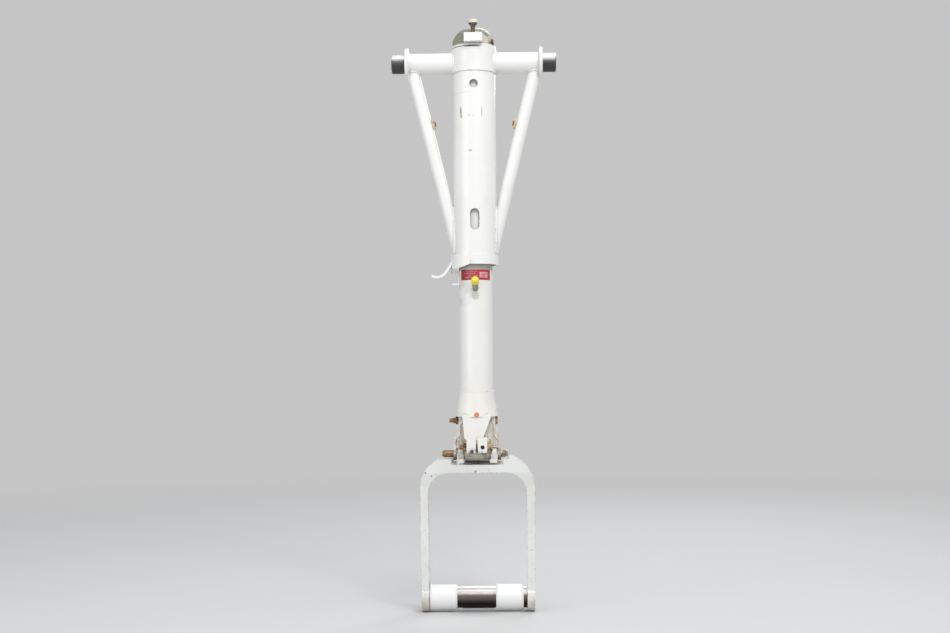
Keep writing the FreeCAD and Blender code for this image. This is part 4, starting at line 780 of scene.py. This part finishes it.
def brace_paths(side):
    """Bead paths at the top and the foot of one brace."""
    low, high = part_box("brace_right")
    radius = (high.y - low.y) / 2
    top_x = flange_x - BRACE_INSET
    top = Vector((side * top_x, 0, 0))
    lean = (top_x - (housing_r - BRACE_BURY)) / -ring_top
    along = Vector((side * lean, 0, 1)).normalized()
    across = UP.cross(along).normalized()
    outward = across.cross(along).normalized()
    upper, lower = [], []
    for step in range(BRACE_POINTS):
        angle = 2 * math.pi * step / BRACE_POINTS
        edge = top + (across * math.cos(angle) + outward * math.sin(angle)) * radius
        start = edge - along * BRACE_SEARCH
        to_tube = reach_of(start, along, cross_r, ALONG_X)
        to_flange = (side * flange_x - start.x) / along.x
        upper.append(start + along * min(to_tube or to_flange, to_flange))
        to_housing = reach_of(edge, -along, housing_r, UP)
        if to_housing is not None:
            point = edge - along * to_housing
            if point.z > ring_top:
                lower.append(point)
    lower.sort(key=lambda point: point.y)
    return (upper, True), (lower, False)


def upright_pair(place, low, high):
    """Two straight upright paths, one at each side of a plate; place(side) gives (x, y)."""
    paths = []
    for side in (-1, 1):
        x, y = place(side)
        paths.append(([Vector((x, y, low)), Vector((x, y, high))], False))
    return paths


fillet_paths = []
crotch_paths = []
for side in (-1, 1):
    upper, lower = brace_paths(side)
    flange_joint = circle(cross_r, Vector((side * flange_x, 0, 0)), ALONG_X)
    fillet_paths += [cross_tube_joint(side), flange_joint, upper]
    crotch_paths.append(lower)
seam_paths = [circle(housing_r + SEAM_LIFT, Vector((0, 0, level)), UP)
              for level in (ring_top, sleeve_foot)]

clevis_half = (clevis_high.y - clevis_low.y) / 2
clevis_x = -math.sqrt(spindle_r ** 2 - clevis_half ** 2)
bracket_half = (bracket_high.x - bracket_low.x) / 2
bracket_y = math.sqrt(spindle_r ** 2 - bracket_half ** 2)
spindle_paths = upright_pair(lambda side: (clevis_x, side * clevis_half),
                             clevis_low.z, clevis_high.z)
spindle_paths += upright_pair(lambda side: (side * bracket_half, bracket_y),
                              bracket_low.z, bracket_high.z)
spindle_paths.append(circle(spindle_r + FOOT_LIFT, Vector((0, 0, foot_top)), UP))

beads("tube_welds", "housing", fillet_paths, FILLET_BEAD, "white_paint")
beads("crotch_welds", "housing", crotch_paths, CROTCH_BEAD, "white_paint")
beads("sleeve_welds", "housing", seam_paths, SEAM_BEAD, "white_paint")
beads("spindle_welds", "spindle", spindle_paths, SPINDLE_BEAD, "spindle_paint")


# ---------------------------------------------------------------- floor, light and camera
floor_z = cad_low.z - FLOOR_DROP
floor_corners = [(x * FLOOR_REACH, y * FLOOR_REACH, floor_z)
                 for x, y in ((-1, -1), (1, -1), (1, 1), (-1, 1))]
floor_mesh = bpy.data.meshes.new("studio_floor")
floor_mesh.from_pydata(floor_corners, [], [(0, 1, 2, 3)])
floor_mesh.materials.append(plain_floor())
floor = bpy.data.objects.new("studio_floor", floor_mesh)
bpy.context.scene.collection.objects.link(floor)

world = bpy.data.worlds.new("studio")
bpy.context.scene.world = world
world.use_nodes = True
sky = Nodes(world.node_tree)
rays = sky.node("ShaderNodeLightPath").outputs
seen = Value(sky, rays["Is Camera Ray"]) + Value(sky, rays["Is Glossy Ray"])
seen = seen + Value(sky, rays["Is Transmission Ray"])
backdrop = sky.node("ShaderNodeBackground", inputs={"Color": BACKDROP})
inputs = {"Color": AMBIENT, "Strength": AMBIENT_STRENGTH}
ambient = sky.node("ShaderNodeBackground", inputs=inputs)
inputs = {0: seen, 1: ambient.outputs[0], 2: backdrop.outputs[0]}
mixed = sky.node("ShaderNodeMixShader", inputs=inputs)
sky.node("ShaderNodeOutputWorld", inputs={"Surface": mixed.outputs[0]})


def soft_lamp(name, offset, size, power):
    """Square area lamp that looks at the leg's centre from an offset."""
    offset = Vector(offset)
    data = bpy.data.lights.new(name, "AREA")
    data.shape = "SQUARE"
    data.size = size
    data.energy = power
    lamp = bpy.data.objects.new(name, data)
    lamp.location = (cad_low + cad_high) / 2 + offset
    lamp.rotation_euler = (-offset).to_track_quat("-Z", "Y").to_euler()
    bpy.context.scene.collection.objects.link(lamp)


for lamp_settings in LAMPS:
    soft_lamp(*lamp_settings)

camera_data = bpy.data.cameras.new("camera")
camera_data.sensor_width = SENSOR_WIDTH
camera_data.lens = FOCAL_LENGTH
camera_data.clip_start = CLIP_START
camera = bpy.data.objects.new("camera", camera_data)
bpy.context.scene.collection.objects.link(camera)
away = Vector((math.sin(CAMERA_AZIMUTH), -math.cos(CAMERA_AZIMUTH), 0))
camera.location = away * CAMERA_DISTANCE + UP * CAMERA_HEIGHT
facing = CAMERA_AZIMUTH + CAMERA_YAW
ahead = Vector((-math.sin(facing), math.cos(facing), 0))
looking = (ahead + UP * math.tan(CAMERA_TILT)).normalized()
aim = looking.to_track_quat("-Z", "Y").to_matrix().to_4x4()
camera.rotation_euler = (aim @ Matrix.Rotation(CAMERA_ROLL, 4, "Z")).to_euler()
bpy.context.scene.camera = camera
bpy.context.scene.view_settings.view_transform = "Standard"
